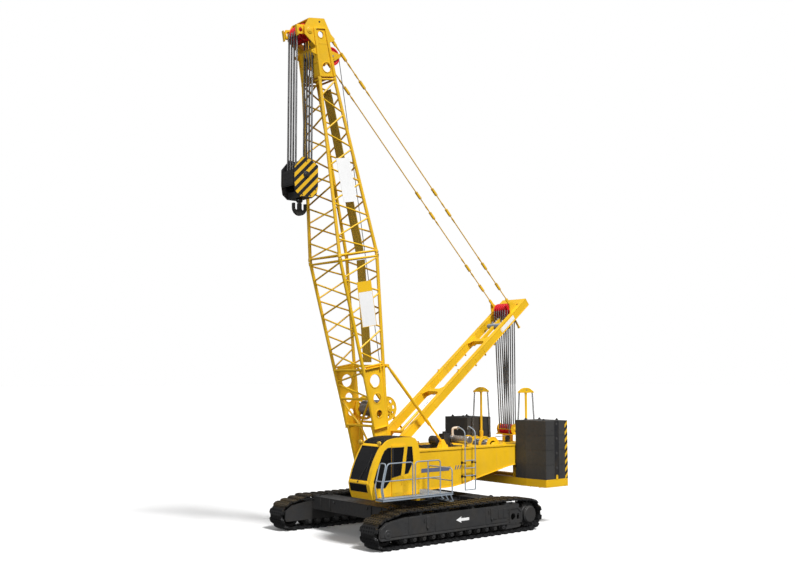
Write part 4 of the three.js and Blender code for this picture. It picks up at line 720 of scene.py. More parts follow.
def carbody_trim():
    trim = Piece("carbody_trim", "undercarriage", BLACK)
    for x in (1.75, 2.6, -2.75, -1.9):
        way = 1 if x in (2.6, -1.9) else -1
        for y in (-1.9, -1.3, 1.3, 1.9):
            trim.prism("z", [(x - way * 0.004, y - 0.02), (x + way * 0.05, y - 0.02), (x + way * 0.05, y + 0.02),
                             (x - way * 0.004, y + 0.02)], (0.83, 1.255))
    for x in ((1.72, 2.63), (-2.78, -1.87)):
        trim.box(x, (-2.415, 2.415), (1.268, 1.288))
        trim.box(x, (-2.415, 2.415), (0.785, 0.803))
    trim.lathe((0, 0, 0), (0, 0, 1), [(1.235, 1.15), (1.235, 1.30), (1.272, 1.30), (1.272, 1.15)], 64, ring=True)
    trim.bolts([(1.255 * math.cos(a), 1.255 * math.sin(a), 1.27) for a in (math.radians(7.5 * k) for k in range(48))],
               (0, 0, 1), 0.02, 0.028)
    trim.lathe((0, 0, 0), (0, 0, 1), [(1.36, 1.13), (1.36, 1.165), (1.40, 1.165), (1.40, 1.13)], 64, ring=True)
    for side in (1, -1):
        for x in (2.175, -2.325):
            pin = (x + 0.30, side * 2.30, 1.27)
            trim.lathe(pin, (0, 0, 1), [(-0.01, 0.10), (0.05, 0.10), (0.06, 0.09), (0.06, 0.05), (0.09, 0.05),
                                        (0.09, 0.0)], 20)
            trim.lathe((x - 0.30, side * 2.30, 1.27), (0, 0, 1),
                       [(-0.01, 0.10), (0.05, 0.10), (0.06, 0.09), (0.06, 0.05), (0.09, 0.05), (0.09, 0.0)], 20)
        for x, way in ((2.598, 1), (-2.748, -1)):
            trim.lathe((x, side * 1.05, 1.16), (way, 0, 0),
                       [(0, 0.0), (0, 0.05), (0.05, 0.05), (0.06, 0.04), (0.06, 0.0)], 18)
    trim.done(0.004)

    hoses = Piece("carbody_hoses", "undercarriage", RUBBER)
    for side in (1, -1):
        for i in range(3):
            y0 = side * (1.15 + 0.07 * i)
            hoses.sweep(rounded([(-0.6 - 0.08 * i, side * 0.9, 1.22), (-0.9 - 0.08 * i, side * 1.25, 1.22),
                                 (-1.6 + 0.07 * i, y0, 1.16), (-1.85, y0, 1.14)], 0.25, 6), 0.02, 8)
    hoses.done()


for side_name, way in SIDES:
    track_shoes(side_name, way)
    rollers(side_name, way)
    idler(side_name, way)
    travel_drive(side_name, way)
    frame_trim(side_name, way)
carbody_trim()


# ------------------------------------------------------------------ revolving deck
HOUSING = (0.91, 1.557)  # y of a side housing's two faces
DECK_EDGE = 1.587
DECK_TOP = 3.205
BAY_TOP = 3.15
UNDERSIDE = ((1.1, 1.66), (-1.24, 1.72), (-1.92, 1.81), (-2.52, 1.95), (-4.33, 2.32), (-4.78, 2.38))
TAIL_TOP = 3.2


def underside(x):
    for (x0, z0), (x1, z1) in zip(UNDERSIDE, UNDERSIDE[1:]):
        if x >= x1:
            return z0 + (z1 - z0) * (x - x0) / (x1 - x0)
    return UNDERSIDE[-1][1]


def chain(piece, start, end, link=0.13, wire_radius=0.016, waist=0.032):
    """Welded links from one point to another, each turned a quarter from the last."""
    start, end = Vector(start), Vector(end)
    along = (end - start).normalized()
    u, v = basis(along)
    count = max(2, round((end - start).length / (link - 2.4 * wire_radius)))
    step = (end - start) / count
    for i in range(count):
        middle, side = start + step * (i + 0.5), (u if i % 2 else v)
        straight = link / 2 - waist - wire_radius
        loop = []
        for k in range(12):
            a = 2 * math.pi * k / 12
            lift = straight if math.sin(a) >= 0 else -straight
            loop.append(middle + side * waist * math.cos(a) + along * (waist * math.sin(a) + lift))
        piece.sweep(loop, wire_radius, 6, closed=True)


def housing_trim(name, side):
    trim = Piece(f"housing_trim_{name}", "upper", YELLOW)
    lip = span(side, 1.50, DECK_EDGE)
    for (x0, z0), (x1, z1) in zip(UNDERSIDE, UNDERSIDE[1:]):
        trim.prism("y", [(x0, z0 - 0.004), (x1, z1 - 0.004), (x1, z1 + 0.014), (x0, z0 + 0.014)], lip)
    skin = span(side, HOUSING[1] - 0.002, HOUSING[1] + 0.004)
    for x in (-0.55, -1.62, -2.66, -3.70):
        trim.prism("y", [(x, underside(x) + 0.015), (x + 0.022, underside(x) + 0.015), (x + 0.022, 3.155),
                         (x, 3.155)], skin)
    trim.box((-4.78, 1.1), span(side, HOUSING[1] - 0.002, HOUSING[1] + 0.010), (3.135, 3.162))
    trim.box((-4.775, 1.095), span(side, DECK_EDGE - 0.055, DECK_EDGE), (DECK_TOP - 0.001, DECK_TOP + 0.010))
    for x in (-4.3, -2.0, 0.75):
        trim.prism("y", [(x - 0.10, DECK_TOP - 0.002), (x + 0.10, DECK_TOP - 0.002), (x + 0.05, DECK_TOP + 0.10),
                         (x - 0.05, DECK_TOP + 0.10)], span(side, 1.40, 1.425),
                         [circle(x, DECK_TOP + 0.055, 0.022, 12)])
    for x0, x1 in ((-4.2, -3.0), (-0.35, 0.45)):
        trim.prism("z", [(x0, side * 1.02), (x1, side * 1.02), (x1, side * 1.33), (x0, side * 1.33)],
                   (DECK_TOP - 0.001, DECK_TOP + 0.008))
        trim.bolts([(x, side * y, DECK_TOP + 0.008) for x in (x0 + 0.04, x1 - 0.04) for y in (1.05, 1.30)],
                   (0, 0, 1), 0.011, 0.008)
    trim.done(0.0025)


def service_doors():
    """Ventilated doors on the right housing, with hinges and catches."""
    doors = Piece("service_doors", "upper", YELLOW)
    catches = Piece("service_door_catches", "upper", DARK)
    skin = (-HOUSING[1] - 0.016, -HOUSING[1] + 0.002)
    for x0, x1 in ((-3.62, -2.76), (-2.56, -1.70), (-1.50, -0.64), (-0.44, 0.42)):
        low = max(underside(x0), underside(x1)) + 0.18
        doors.prism("y", rounded_box(x0, x1, low, 2.98, 0.05), skin)
        for i in range(9):
            z = 2.55 + i * 0.042
            doors.prism("y", [(x0 + 0.12, z), (x1 - 0.12, z), (x1 - 0.12, z + 0.014), (x0 + 0.12, z + 0.014)],
                        (skin[0] - 0.010, skin[0] + 0.002))
        for z in (low + 0.15, 2.83):
            doors.tube((x0 + 0.012, skin[0], z - 0.045), (x0 + 0.012, skin[0], z + 0.045), 0.013, 12)
        middle = (low + 2.5) / 2
        catches.prism("y", rounded_box(x1 - 0.13, x1 - 0.05, middle - 0.06, middle + 0.06, 0.02),
                      (skin[0] - 0.012, skin[0] + 0.002))
        catches.box((x1 - 0.10, x1 - 0.08), (skin[0] - 0.022, skin[0] - 0.010), (middle - 0.045, middle + 0.045))
    doors.done(0.003)
    catches.done()


def housing_stripe():
    stripe = Piece("housing_stripe", "upper", BLUE)
    skin = (HOUSING[1] + 0.001, HOUSING[1] + 0.0065)
    stripe.prism("y", [(0.38, 2.36), (0.38, 2.51), (-1.14, 2.51), (-1.06, 2.36)], skin)
    for x in (-1.36, -1.49, -1.62):
        stripe.prism("y", [(x, 2.38), (x - 0.05, 2.38), (x - 0.11, 2.53), (x - 0.05, 2.53)], skin)
    stripe.done()


def slew_base():
    base = Piece("slew_base_trim", "upper", YELLOW)
    base.lathe((0, 0, 0), (0, 0, 1), [(1.558, 1.10), (1.558, 1.19), (1.595, 1.19), (1.595, 1.10)], 64, ring=True)
    base.bolts([(1.15 * math.cos(a), 1.15 * math.sin(a), 1.595) for a in (math.radians(7.5 * k) for k in range(48))],
               (0, 0, 1), 0.018, 0.022)
    base.done(0.002)


# ------------------------------------------------------------------ deck machinery
WINCH = (-4.3, 3.14)
TAIL_AXLE = (-5.97, 3.74)  # x and z of the lower luffing sheaves
LUFF_PITCH = 0.125  # between the luffing sheaves
ENGINE_TOP = 3.1803
WINCH_FLANGE = 0.36


def rope_drum(rope, centre, axis, start, end, radius, wire_radius):
    """A layer of rope on a drum, as rounded turns."""
    turns = int((end - start) / (2 * wire_radius))
    profile = []
    for i in range(turns):
        d = start + (end - start) * (i + 0.5) / turns
        for k in range(5):
            a = math.pi * k / 4
            profile.append((d - wire_radius * 0.98 * math.cos(a), radius + wire_radius * math.sin(a)))
    rope.lathe(centre, axis, [(start, radius - 0.02)] + profile + [(end, radius - 0.02)], 40)


def drum_flange(piece, x, z, y, radius, thick, holes=6):
    """A drum's flange with lightening holes, a rim and a bolted hub."""
    outline = circle(x, z, radius, 48)
    gaps = [circle(x + radius * 0.66 * math.cos(a), z + radius * 0.66 * math.sin(a), radius * 0.15, 16)
            for a in (2 * math.pi * k / holes for k in range(holes))] if holes else []
    piece.prism("y", outline, (y - thick / 2, y + thick / 2), gaps)
    piece.lathe((x, y, z), (0, 1, 0), [(-thick * 0.75, radius - 0.03), (-thick * 0.75, radius - 0.001),
                                       (thick * 0.75, radius - 0.001), (thick * 0.75, radius - 0.03)], 48, ring=True)
    for way in (1, -1):
        piece.lathe((x, y, z), (0, way, 0), [(0, 0.13), (thick * 0.9, 0.13), (thick * 1.3, 0.10), (thick * 1.3, 0.0)],
                    24)
        piece.bolts([(x + 0.105 * math.cos(a), y + way * thick * 0.9, z + 0.105 * math.sin(a))
                     for a in (math.radians(k) for k in range(0, 360, 45))], (0, way, 0), 0.010, 0.012)


def boom_hoist():
    x, z = WINCH
    drums = Piece("boom_hoist_drums", "upper", YELLOW)
    for y in (-0.742, -0.265, 0.265, 0.742):
        drum_flange(drums, x, z, y, WINCH_FLANGE, 0.036, holes=0)
    for y in (-0.742, 0.742):
        ratchet = []
        for k in range(30):
            a = 2 * math.pi * k / 30
            ratchet += [(x + 0.33 * math.cos(a), z + 0.33 * math.sin(a)),
                        (x + 0.30 * math.cos(a + 0.03), z + 0.30 * math.sin(a + 0.03))]
        drums.prism("y", ratchet, (y - 0.03 if y > 0 else y - 0.01, y + 0.01 if y > 0 else y + 0.03))
    drums.tube((x, -0.76, z), (x, 0.76, z), 0.20, 32)
    drums.tube((x, -0.838, z), (x, 0.838, z), 0.075, 20)
    drums.done(0.003, replaces=["boom_hoist_winch"])
    rope = Piece("boom_hoist_rope", "upper", ROPE)
    for a, b in ((-0.72, -0.287), (-0.243, 0.243), (0.287, 0.72)):
        rope_drum(rope, (x, 0, z), (0, 1, 0), a, b, 0.225, 0.013)
    rope.done()
    mounts = Piece("boom_hoist_mounts", "upper", YELLOW)
    for way in (1, -1):
        y = span(way, 0.845, 0.902)
        mounts.prism("y", hull([(x - 0.24, BAY_TOP - 0.01), (x + 0.24, BAY_TOP - 0.01)] + circle(x, z + 0.02, 0.13,
                                                                                                 20)), y,
                     [circle(x, z, 0.077, 20)])
    mounts.done(0.003)


SILENCER = (-2.35, 3.47, 0.16)
SILENCER_SPAN = (0.10, 1.40)


def silencer():
    x, z, radius = SILENCER
    low, high = SILENCER_SPAN
    can = Piece("exhaust_silencer", "upper", STEEL)
    can.lathe((x, 0, z), (0, 1, 0), [
        (low, 0.03), (low, 0.10), (low + 0.01, radius - 0.012), (low + 0.02, radius), (low + 0.035, radius),
        (low + 0.04, radius - 0.007), (high - 0.04, radius - 0.007), (high - 0.035, radius), (high - 0.02, radius),
        (high - 0.01, radius - 0.012), (high, 0.10), (high, 0.03)], 48)
    for y in (low + 0.36, high - 0.36):
        can.lathe((x, y, z), (0, 1, 0), [(-0.012, radius - 0.008), (-0.012, radius - 0.001), (0.012, radius - 0.001),
                                         (0.012, radius - 0.008)], 48, ring=True)
    can.prism("y", rounded_box(x - 0.006, x + 0.006, z - radius + 0.002, z - radius + 0.012, 0.002),
              (low + 0.05, high - 0.05))
    for y, floor in ((low + 0.12, ENGINE_TOP), (high - 0.27, DECK_TOP + 0.0003)):
        can.prism("y", [(x - 0.09, floor), (x + 0.09, floor), (x + 0.09, floor + 0.012), (x + 0.05, floor + 0.02),
                        (x + 0.11, z - 0.05), (x + 0.07, z - 0.04), (x - 0.07, z - 0.04), (x - 0.11, z - 0.05),
                        (x - 0.05, floor + 0.02), (x - 0.09, floor + 0.012)], (y - 0.03, y + 0.03))
    can.done(0.003, replaces=["silencer"])
    pale = paint("pale_lagging", (0.80, 0.66, 0.52), 0.55, 0.0)
    pipe = Piece("exhaust_pipe", "upper", pale)
    pipe.sweep(rounded([(x, 0.37, z + radius - 0.03), (x, 0.37, z + 0.43), (x - 0.14, 0.45, z + 0.46),
                        (x - 0.24, 0.52, z + 0.46)], 0.16, 8),
               0.05, 20)
    pipe.lathe((x, 0.37, z + radius - 0.015), (0, 0, 1), [(0, 0.052), (0, 0.075), (0.03, 0.075), (0.03, 0.052)], 24,
               ring=True)
    pipe.done()


def air_cleaner():
    x, y, z = -1.20, 0.56, 3.48
    base = ENGINE_TOP
    body = Piece("air_cleaner_body", "upper", DARK)
    body.lathe((x, y, z), (0, 1, 0), [
        (-0.21, 0.0), (-0.21, 0.12), (-0.20, 0.155), (-0.19, 0.178), (-0.10, 0.183), (-0.095, 0.175), (0.09, 0.175),
        (0.095, 0.1845), (0.115, 0.1845), (0.12, 0.175), (0.19, 0.168), (0.205, 0.14), (0.21, 0.09), (0.21, 0.0)], 40)
    body.prism("y", [(x - 0.11, base), (x + 0.11, base), (x + 0.11, base + 0.014), (x + 0.08, base + 0.16),
                     (x - 0.08, base + 0.16),
                     (x - 0.11, base + 0.014)], (0.382, 0.498))
    body.sweep(rounded([(x - 0.15, 0.44, z), (x - 0.34, 0.42, z + 0.02), (x - 0.62, 0.33, z + 0.02)], 0.16, 6), 0.06,
               18)
    for k in range(4):
        body.lathe((x - 0.17 - 0.04 * k, 0.44 - 0.004 * k, z), (1, 0, 0),
                   [(0, 0.060), (0.004, 0.068), (0.016, 0.068), (0.02, 0.060)], 18,
                   ring=True)
    body.done(replaces=["air_cleaner"])


def engine_trim():
    """Valve covers, pipes and the cap on the intake."""
    engine = Piece("engine_covers", "upper", DARK)
    x0, x1, top = -2.9, -0.9, 3.18
    for i in range(6):
        x = x0 + 0.22 + i * (x1 - x0 - 0.5) / 5
        engine.prism("y", rounded_box(x - 0.10, x + 0.10, top - 0.003, top + 0.055, 0.03), (-0.40, -0.06))
    engine.sweep([(x0 + 0.10, 0.46, top - 0.02), (x1 - 0.10, 0.46, top - 0.02)], 0.035, 14)
    for z in (3.30, 3.42, 3.54):
        engine.prism("z", [(-2.154, 0.146), (-1.786, 0.146), (-1.786, 0.454), (-2.154, 0.454)], (z, z + 0.02))
    engine.done(0.003)


def backstop(name, side):
    """A telescoping stop: a ram in a clevis, a ribbed sleeve, the tube and its forked head."""
    foot, top = Vector((-1.17, 0, 3.47)), Vector((1.588, 0, 6.453))
    y = side * 0.985
    along = (top - foot).normalized()
    length = (top - foot).length

    def at(d):
        return foot + along * d + Vector((0, y, 0))

    stop = Piece(f"backstop_tube_{name}", "boom", YELLOW)
    stop.lathe(at(0), along, [(0.0, 0.0), (0.0, 0.040), (0.10, 0.044), (0.905, 0.044), (0.905, 0.06), (0.92, 0.064),
                              (length - 0.30, 0.062), (length - 0.26, 0.05), (length - 0.05, 0.044),
                              (length - 0.05, 0.0)], 28)
    for i in range(11):
        d = 0.93 + i * 0.032
        stop.lathe(at(d), along, [(0, 0.060), (0.003, 0.070), (0.014, 0.070), (0.017, 0.060)], 28, ring=True)
    stop.lathe((top.x, 0, top.z), (0, 1, 0),
               [(y - 0.04, 0.0), (y - 0.04, 0.06), (y - 0.035, 0.065), (y + 0.035, 0.065),
                                              (y + 0.04, 0.06), (y + 0.04, 0.0)], 24)
    ends = sorted((side * (0.915 + 0.0004), side * 0.985))
    stop.tube((top.x, ends[0], top.z), (top.x, ends[1], top.z), 0.032, 20)
    stop.done(replaces=[f"backstop_{name}"])

    seat = Piece(f"backstop_clevis_{name}", "upper", YELLOW)
    for cheek in (0.925, 1.035):
        outline = hull([(-1.42, DECK_TOP - 0.002), (-0.98, DECK_TOP - 0.002)] + circle(-1.21, 3.42, 0.085, 16))
        seat.prism("y", outline, span(side, cheek, cheek + 0.022))
    for dx in (-0.30, 0.12):
        seat.prism("y", hull([(-1.17 + dx, DECK_TOP - 0.002), (-1.02 + dx, DECK_TOP - 0.002)]
                             + circle(-1.10 + dx, 3.28, 0.045, 12)), span(side, 1.055, 1.075),
                   [circle(-1.10 + dx, 3.275, 0.02, 10)])
    seat.lathe((-1.21, side * 0.92, 3.42), (0, side, 0), [(0, 0.04), (0.14, 0.04), (0.145, 0.032)], 16)
    seat.done(0.003)


def lifting_post(name, side):
    """A post whose domed crosshead carries the chains that raise the counterweight."""
    x, y = -5.7, side * 1.36
    post = Piece(f"counterweight_post_{name}", "upper", YELLOW)
    post.lathe((x, y, 0), (0, 0, 1), [
        (TAIL_TOP + 0.0003, 0.0), (TAIL_TOP + 0.0003, 0.094), (TAIL_TOP + 0.03, 0.094), (TAIL_TOP + 0.04, 0.085),
        (3.50, 0.085), (3.55, 0.092), (3.60, 0.092), (3.62, 0.060), (3.66, 0.054), (5.31, 0.054), (5.31, 0.07),
        (5.36, 0.07), (5.36, 0.0)], 32)
    sweep = 2 * math.degrees(math.atan(0.22 / 0.45))
    bend = 0.45 / math.sin(math.radians(sweep))
    crown = 5.33 + 0.22
    dome = arc(x, crown - bend, bend, 90 - sweep, 90 + sweep, 20)
    inner = arc(x, crown - bend, bend - 0.075, 90 - sweep * 0.80, 90 + sweep * 0.80, 16)
    for way in (1, -1):
        face = sorted((y + way * 0.030, y + way * 0.058))
        post.prism("y", dome, face)
        post.prism("y", dome + inner[::-1], sorted((y + way * 0.050, y + way * 0.0598)))
    post.prism("y", dome + arc(x, crown - bend, bend - 0.02, 90 - sweep, 90 + sweep, 20)[::-1],
               (y - 0.058, y + 0.058))
    for dx in (-0.40, 0.40):
        post.lathe((x + dx, y, 5.375), (0, 1, 0), [(-0.058, 0.035), (0.058, 0.035)], 16)
    post.done(0.003, replaces=[f"lifting_post_{name}"])
    boss = Piece(f"counterweight_post_boss_{name}", "upper", STEEL)
    boss.lathe((x, y, 5.44), (0, 1, 0), [(-0.0598, 0.032), (0.0598, 0.032)], 20)
    boss.done()
    links = Piece(f"counterweight_chains_{name}", "upper", ROPE)
    for dx in (-1, 1):
        chain(links, (x + dx * 0.40, y, 5.35), (x + dx * 0.56, y, TAIL_TOP + 0.05))
        links.lathe((x + dx * 0.56, y, TAIL_TOP), (0, 0, 1), [(-0.001, 0.045), (0.014, 0.045), (0.014, 0.0)], 16)
        links.sweep([(x + dx * 0.56 + 0.03 * math.cos(a), y, TAIL_TOP + 0.035 + 0.035 * math.sin(a))
                     for a in (math.pi * k / 6 for k in range(-1, 8))], 0.010, 8)
    links.done()


def slab_trim(name, side):
    """Lifting eyes on a stack, the recess as a dark sheet of painted shade with its pins, seams between the castings
    and the edge stripes.
    """
    lugs = Piece(f"slab_lugs_{name}", "upper", GREY)
    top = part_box(f"counterweight_{name}")[1].z
    for x, y in ((-5.25, 1.75), (-5.25, 2.75), (-6.10, 1.75), (-6.10, 2.72)):
        lugs.prism("y", hull([(x - 0.085, top - 0.002), (x + 0.085, top - 0.002)] + circle(x, top + 0.055, 0.032,
                                                                                           12)),
                   span(side, y - 0.02, y + 0.02), [circle(x, top + 0.052, 0.017, 10)])
    for x, y in ((-5.62, 2.45), (-5.45, 1.60)):
        lugs.lathe((x, side * y, top), (0, 0, 1), [(-0.002, 0.06), (0.02, 0.06), (0.045, 0.045), (0.055, 0.0)], 20)
    for x in (-5.86, -5.56):
        lugs.box((x - 0.012, x + 0.012), span(side, 3.036, 3.048), (1.84, top - 0.01))
    for k in range(4):
        z = 1.832 + 0.5975 * k + 0.45
        lugs.lathe((-5.71, side * 3.04, z), (0, side, 0),
                   [(-0.003, 0.055), (0.010, 0.055), (0.012, 0.04), (0.012, 0.0)], 20)
        for dx in (-5.45, -5.95):
            lugs.prism("y", rounded_box(dx - 0.05, dx + 0.05, z - 0.26, z - 0.20, 0.015), span(side, 3.036, 3.048))
    lugs.done(0.004)

    # a dark sheet laid in the recess: painted shade, not the casting's own colour
    recess = Piece(f"slab_recess_shade_{name}", "upper", DARK)
    recess.box((-5.85, -5.57), span(side, 3.0395, 3.0440), (1.84, top - 0.01))
    recess.done()
    edge = Piece(f"slab_edge_stripes_{name}", "upper", EDGE_STRIPES)
    edge.box((-6.380, -6.22), span(side, 3.039, 3.0445), (1.84, top - 0.02))
    edge.box((-6.3845, -6.379), span(side, 2.86, 3.044), (1.84, top - 0.02))
    edge.done()

    tray = Piece(f"tray_lugs_{name}", "upper", YELLOW)
    for x in (-5.15, -6.2):
        tray.prism("y", hull([(x - 0.07, 1.56), (x + 0.07, 1.56)] + circle(x, 1.76, 0.06, 12)),
                   span(side, 3.040, 3.052),
                   [circle(x, 1.76, 0.025, 12)])
    tray.prism("y", hull([(-5.77, 1.82), (-5.65, 1.82)] + circle(-5.71, 1.95, 0.06, 12)), span(side, 3.040, 3.052),
               [circle(-5.71, 1.95, 0.022, 12)])
    for y in (1.7, 2.2, 2.7):
        tray.box((-6.34, -5.0), span(side, y - 0.02, y + 0.02), (1.502, 1.519))
    tray.done(0.003)


def tail_block():
    """The lower luffing sheaves with their rope guards."""
    x, z = TAIL_AXLE
    wheels = Piece("lower_luffing_sheaves", "upper", RED)
    for i in range(6):
        rope_wheel(wheels, (x, (i - 2.5) * LUFF_PITCH, z), 0.2, 0.050, spokes=0)
    wheels.done(replaces=["luffing_lower_sheaves"])
    pins = Piece("lower_luffing_pin", "upper", STEEL)
    pins.tube((x, -0.455, z), (x, 0.455, z), 0.05, 20)
    pins.done()
    guard = Piece("lower_luffing_guard", "upper", YELLOW)
    for dx in (-0.215, 0.215):
        guard.tube((x + dx, -0.425, z), (x + dx, 0.425, z), 0.012, 10)
    for way in (1, -1):
        guard.prism("y", hull(circle(x, z, 0.235, 20)), span(way, 0.425, 0.437), [circle(x, z, 0.052, 16)])
        guard.lathe((x, way * 0.452, z), (0, way, 0), [(0, 0.075), (0.02, 0.075), (0.03, 0.06), (0.03, 0.0)], 20)
        guard.prism("x", [(way * 0.50, 3.50), (way * 0.56, 3.50), (way * 0.62, 3.54), (way * 0.62, 3.56),
                          (way * 0.50, 3.53)],
                    (x - 0.05, x + 0.05))
    guard.done(0.002)
    lead = Piece("lower_luffing_lead_sheave", "upper", DARK)
    rope_wheel(lead, (x + 0.32, 0.30, 3.36), 0.125, 0.06, spokes=0)
    lead.tube((x + 0.32, 0.22, 3.36), (x + 0.32, 0.38, 3.36), 0.025, 12)
    for y in (0.24, 0.36):
        lead.prism("y", hull([(x + 0.24, TAIL_TOP), (x + 0.40, TAIL_TOP)] + circle(x + 0.32, 3.36, 0.05, 12)),
                   (y - 0.01, y + 0.01))
    lead.done()


def rope_wheel(piece, centre, radius, width, spokes=6, hub=None):
    """A sheave: a grooved rim, a recessed web with holes and a hub."""
    x, y, z = centre
    half, hub = width / 2, hub or radius * 0.26
    rim = radius * 0.84
    piece.lathe(centre, (0, 1, 0), [
        (-half, rim), (-half, radius - 0.004), (-half + 0.004, radius), (-half * 0.55, radius),
        (-half * 0.35, radius - 0.022),
        (0, radius - 0.030), (half * 0.35, radius - 0.022), (half * 0.55, radius), (half - 0.004, radius),
        (half, radius - 0.004), (half, rim), (half * 0.4, rim * 0.97), (-half * 0.4, rim * 0.97)], 48, ring=True)
    holes = [circle(x + radius * 0.55 * math.cos(a), z + radius * 0.55 * math.sin(a), radius * 0.14, 12)
             for a in (2 * math.pi * (k + 0.5) / spokes for k in range(spokes))] if spokes else []
    piece.prism("y", circle(x, z, rim * 0.985, 48), (y - half * 0.35, y + half * 0.35), holes)
    piece.lathe(centre, (0, 1, 0), [(-half, 0.0), (-half, hub * 0.8), (-half + 0.006, hub), (half - 0.006, hub),
                                    (half, hub * 0.8), (half, 0.0)], 28)


for side_name, way in SIDES:
    housing_trim(side_name, way)
    backstop(side_name, way)
    lifting_post(side_name, way)
    slab_trim(side_name, way)
service_doors()
housing_stripe()
slew_base()
boom_hoist()
silencer()
air_cleaner()
engine_trim()
tail_block()


# ------------------------------------------------------------------ walkway, rails and ladder
CAB_REAR = 1.44
CAB_LEFT = 2.69
WALK_INNER = 2.785
WALK_EDGE = 3.2
WALK = (0.23, 3.58)
WALK_TOP = 1.75
RAIL_TOP = 2.98
RAIL_MIDDLE = 2.37
RAIL_RADIUS = 0.024


def walkway():
    deck = Piece("walkway_deck", "upper", RAIL)
    deck.box((WALK[0], CAB_REAR - 0.09), (DECK_EDGE + 0.0003, WALK_EDGE), (1.725, WALK_TOP - 0.006))
    deck.box((CAB_REAR - 0.1, WALK[1]), (WALK_INNER, WALK_EDGE), (1.725, WALK_TOP - 0.006))
    for x0, x1, y0, y1 in ((WALK[0], WALK[1], WALK_EDGE - 0.012, WALK_EDGE),
                           (WALK[0], WALK[0] + 0.012, 1.588, WALK_EDGE),
                           (WALK[1] - 0.012, WALK[1], WALK_INNER, WALK_EDGE),
                           (CAB_REAR, WALK[1], WALK_INNER, WALK_INNER + 0.012),
                           (CAB_REAR - 0.102, CAB_REAR - 0.09, 1.588, WALK_INNER)):
        deck.box((x0, x1), (y0, y1), (1.672, WALK_TOP))
    for x0, x1, y0, y1 in ((WALK[0], WALK[1], WALK_EDGE - 0.006, WALK_EDGE),
                           (WALK[1] - 0.006, WALK[1], WALK_INNER, WALK_EDGE)):
        deck.box((x0, x1), (y0, y1), (WALK_TOP, WALK_TOP + 0.012))
    for i in range(6):
        x = 0.55 + 0.55 * i
        inner = WALK_INNER + 0.02 if x > 1.3 else 1.60
        deck.box((x - 0.02, x + 0.02), (inner, WALK_EDGE - 0.02), (1.67, 1.727))
    deck.box((1.20, 1.28), (2.5903, WALK_EDGE - 0.10), (1.60, 1.725))
    deck.done(0.002, replaces=["walkway"])

    tread = Piece("walkway_tread", "upper", RAIL)
    for i in range(62):
        x = WALK[0] + 0.06 + i * 0.053
        inner = WALK_INNER + 0.03 if x > CAB_REAR - 0.12 else 1.62
        count = int((WALK_EDGE - 0.03 - inner) / 0.10)
        for k in range(count):
            y = inner + 0.05 + k * 0.10 + (0.05 if i % 2 else 0.0)
            if y + 0.02 > WALK_EDGE - 0.02:
                continue
            d = 0.017 if (i + k) % 2 else -0.017
            tread.prism("z", [(x - d, y - 0.019), (x - d + 0.006, y - 0.023), (x + d, y + 0.019),
                              (x + d - 0.006, y + 0.023)],
                        (WALK_TOP - 0.007, WALK_TOP - 0.001))
    tread.done()

    rails = Piece("walkway_rails", "upper", RAIL)
    edge = WALK_EDGE - 0.03
    r = RAIL_RADIUS

    def hoop(path):
        """A rail that rises at the first point and comes down at the last, with round corners."""
        rails.sweep(rounded(path, 0.13, 6), r, 12)

    front = WALK[1] - 0.03
    inside = WALK_INNER + 0.04
    hoop([(front, inside, WALK_TOP - 0.01), (front + 0.09, inside, 2.12), (front - 0.14, inside, RAIL_TOP),
          (front - 0.14, edge, RAIL_TOP), (front + 0.09, edge, 2.12), (front, edge, WALK_TOP - 0.01)])
    rails.sweep([(front + 0.03, inside, RAIL_MIDDLE), (front + 0.03, edge, RAIL_MIDDLE)], r * 0.85, 12)
    hoop([(front - 0.06, edge, WALK_TOP - 0.01), (front + 0.03, edge, 2.12), (front - 0.20, edge, RAIL_TOP),
          (2.18, edge, RAIL_TOP), (2.18, edge, WALK_TOP - 0.01)])
    rails.sweep([(front - 0.03, edge, RAIL_MIDDLE), (2.18, edge, RAIL_MIDDLE)], r * 0.85, 12)
    hoop([(2.06, edge, WALK_TOP - 0.01), (2.06, edge, RAIL_TOP), (0.85, edge, RAIL_TOP),
          (0.85, edge, WALK_TOP - 0.01)])
    rails.sweep([(2.06, edge, RAIL_MIDDLE), (0.85, edge, RAIL_MIDDLE)], r * 0.85, 12)
    rails.sweep([(1.45, edge, WALK_TOP - 0.01), (1.45, edge, RAIL_TOP)], r, 12)
    back = WALK[0] + 0.03
    hoop([(back, edge, WALK_TOP - 0.01), (back, edge, RAIL_TOP - 0.33), (back, DECK_EDGE + 0.25, RAIL_TOP - 0.33),
          (back, DECK_EDGE + 0.25, WALK_TOP - 0.01)])
    rails.sweep([(back, edge, RAIL_MIDDLE - 0.18), (back, DECK_EDGE + 0.25, RAIL_MIDDLE - 0.18)], r * 0.85, 12)
    for x, y in ((2.18, edge), (2.06, edge), (0.85, edge), (1.45, edge), (back, edge), (front, edge)):
        rails.lathe((x, y, WALK_TOP - 0.006), (0, 0, 1), [(0, 0.04), (0.008, 0.04), (0.008, 0.0)], 16)
    rails.done()

    steps = Piece("folding_steps", "upper", RAIL)
    for x, z in ((0.86, 1.54), (0.62, 1.48), (0.38, 1.42)):
        steps.sweep(rounded([(x, edge + 0.02, 1.70), (x - 0.16, edge + 0.02, z), (x - 0.16, edge - 0.46, z),
                             (x, edge - 0.46, 1.70)], 0.06, 5), r, 10)
        steps.box((x - 0.215, x - 0.105), (edge - 0.43, edge - 0.03), (z - 0.006, z + 0.006))
    steps.done()


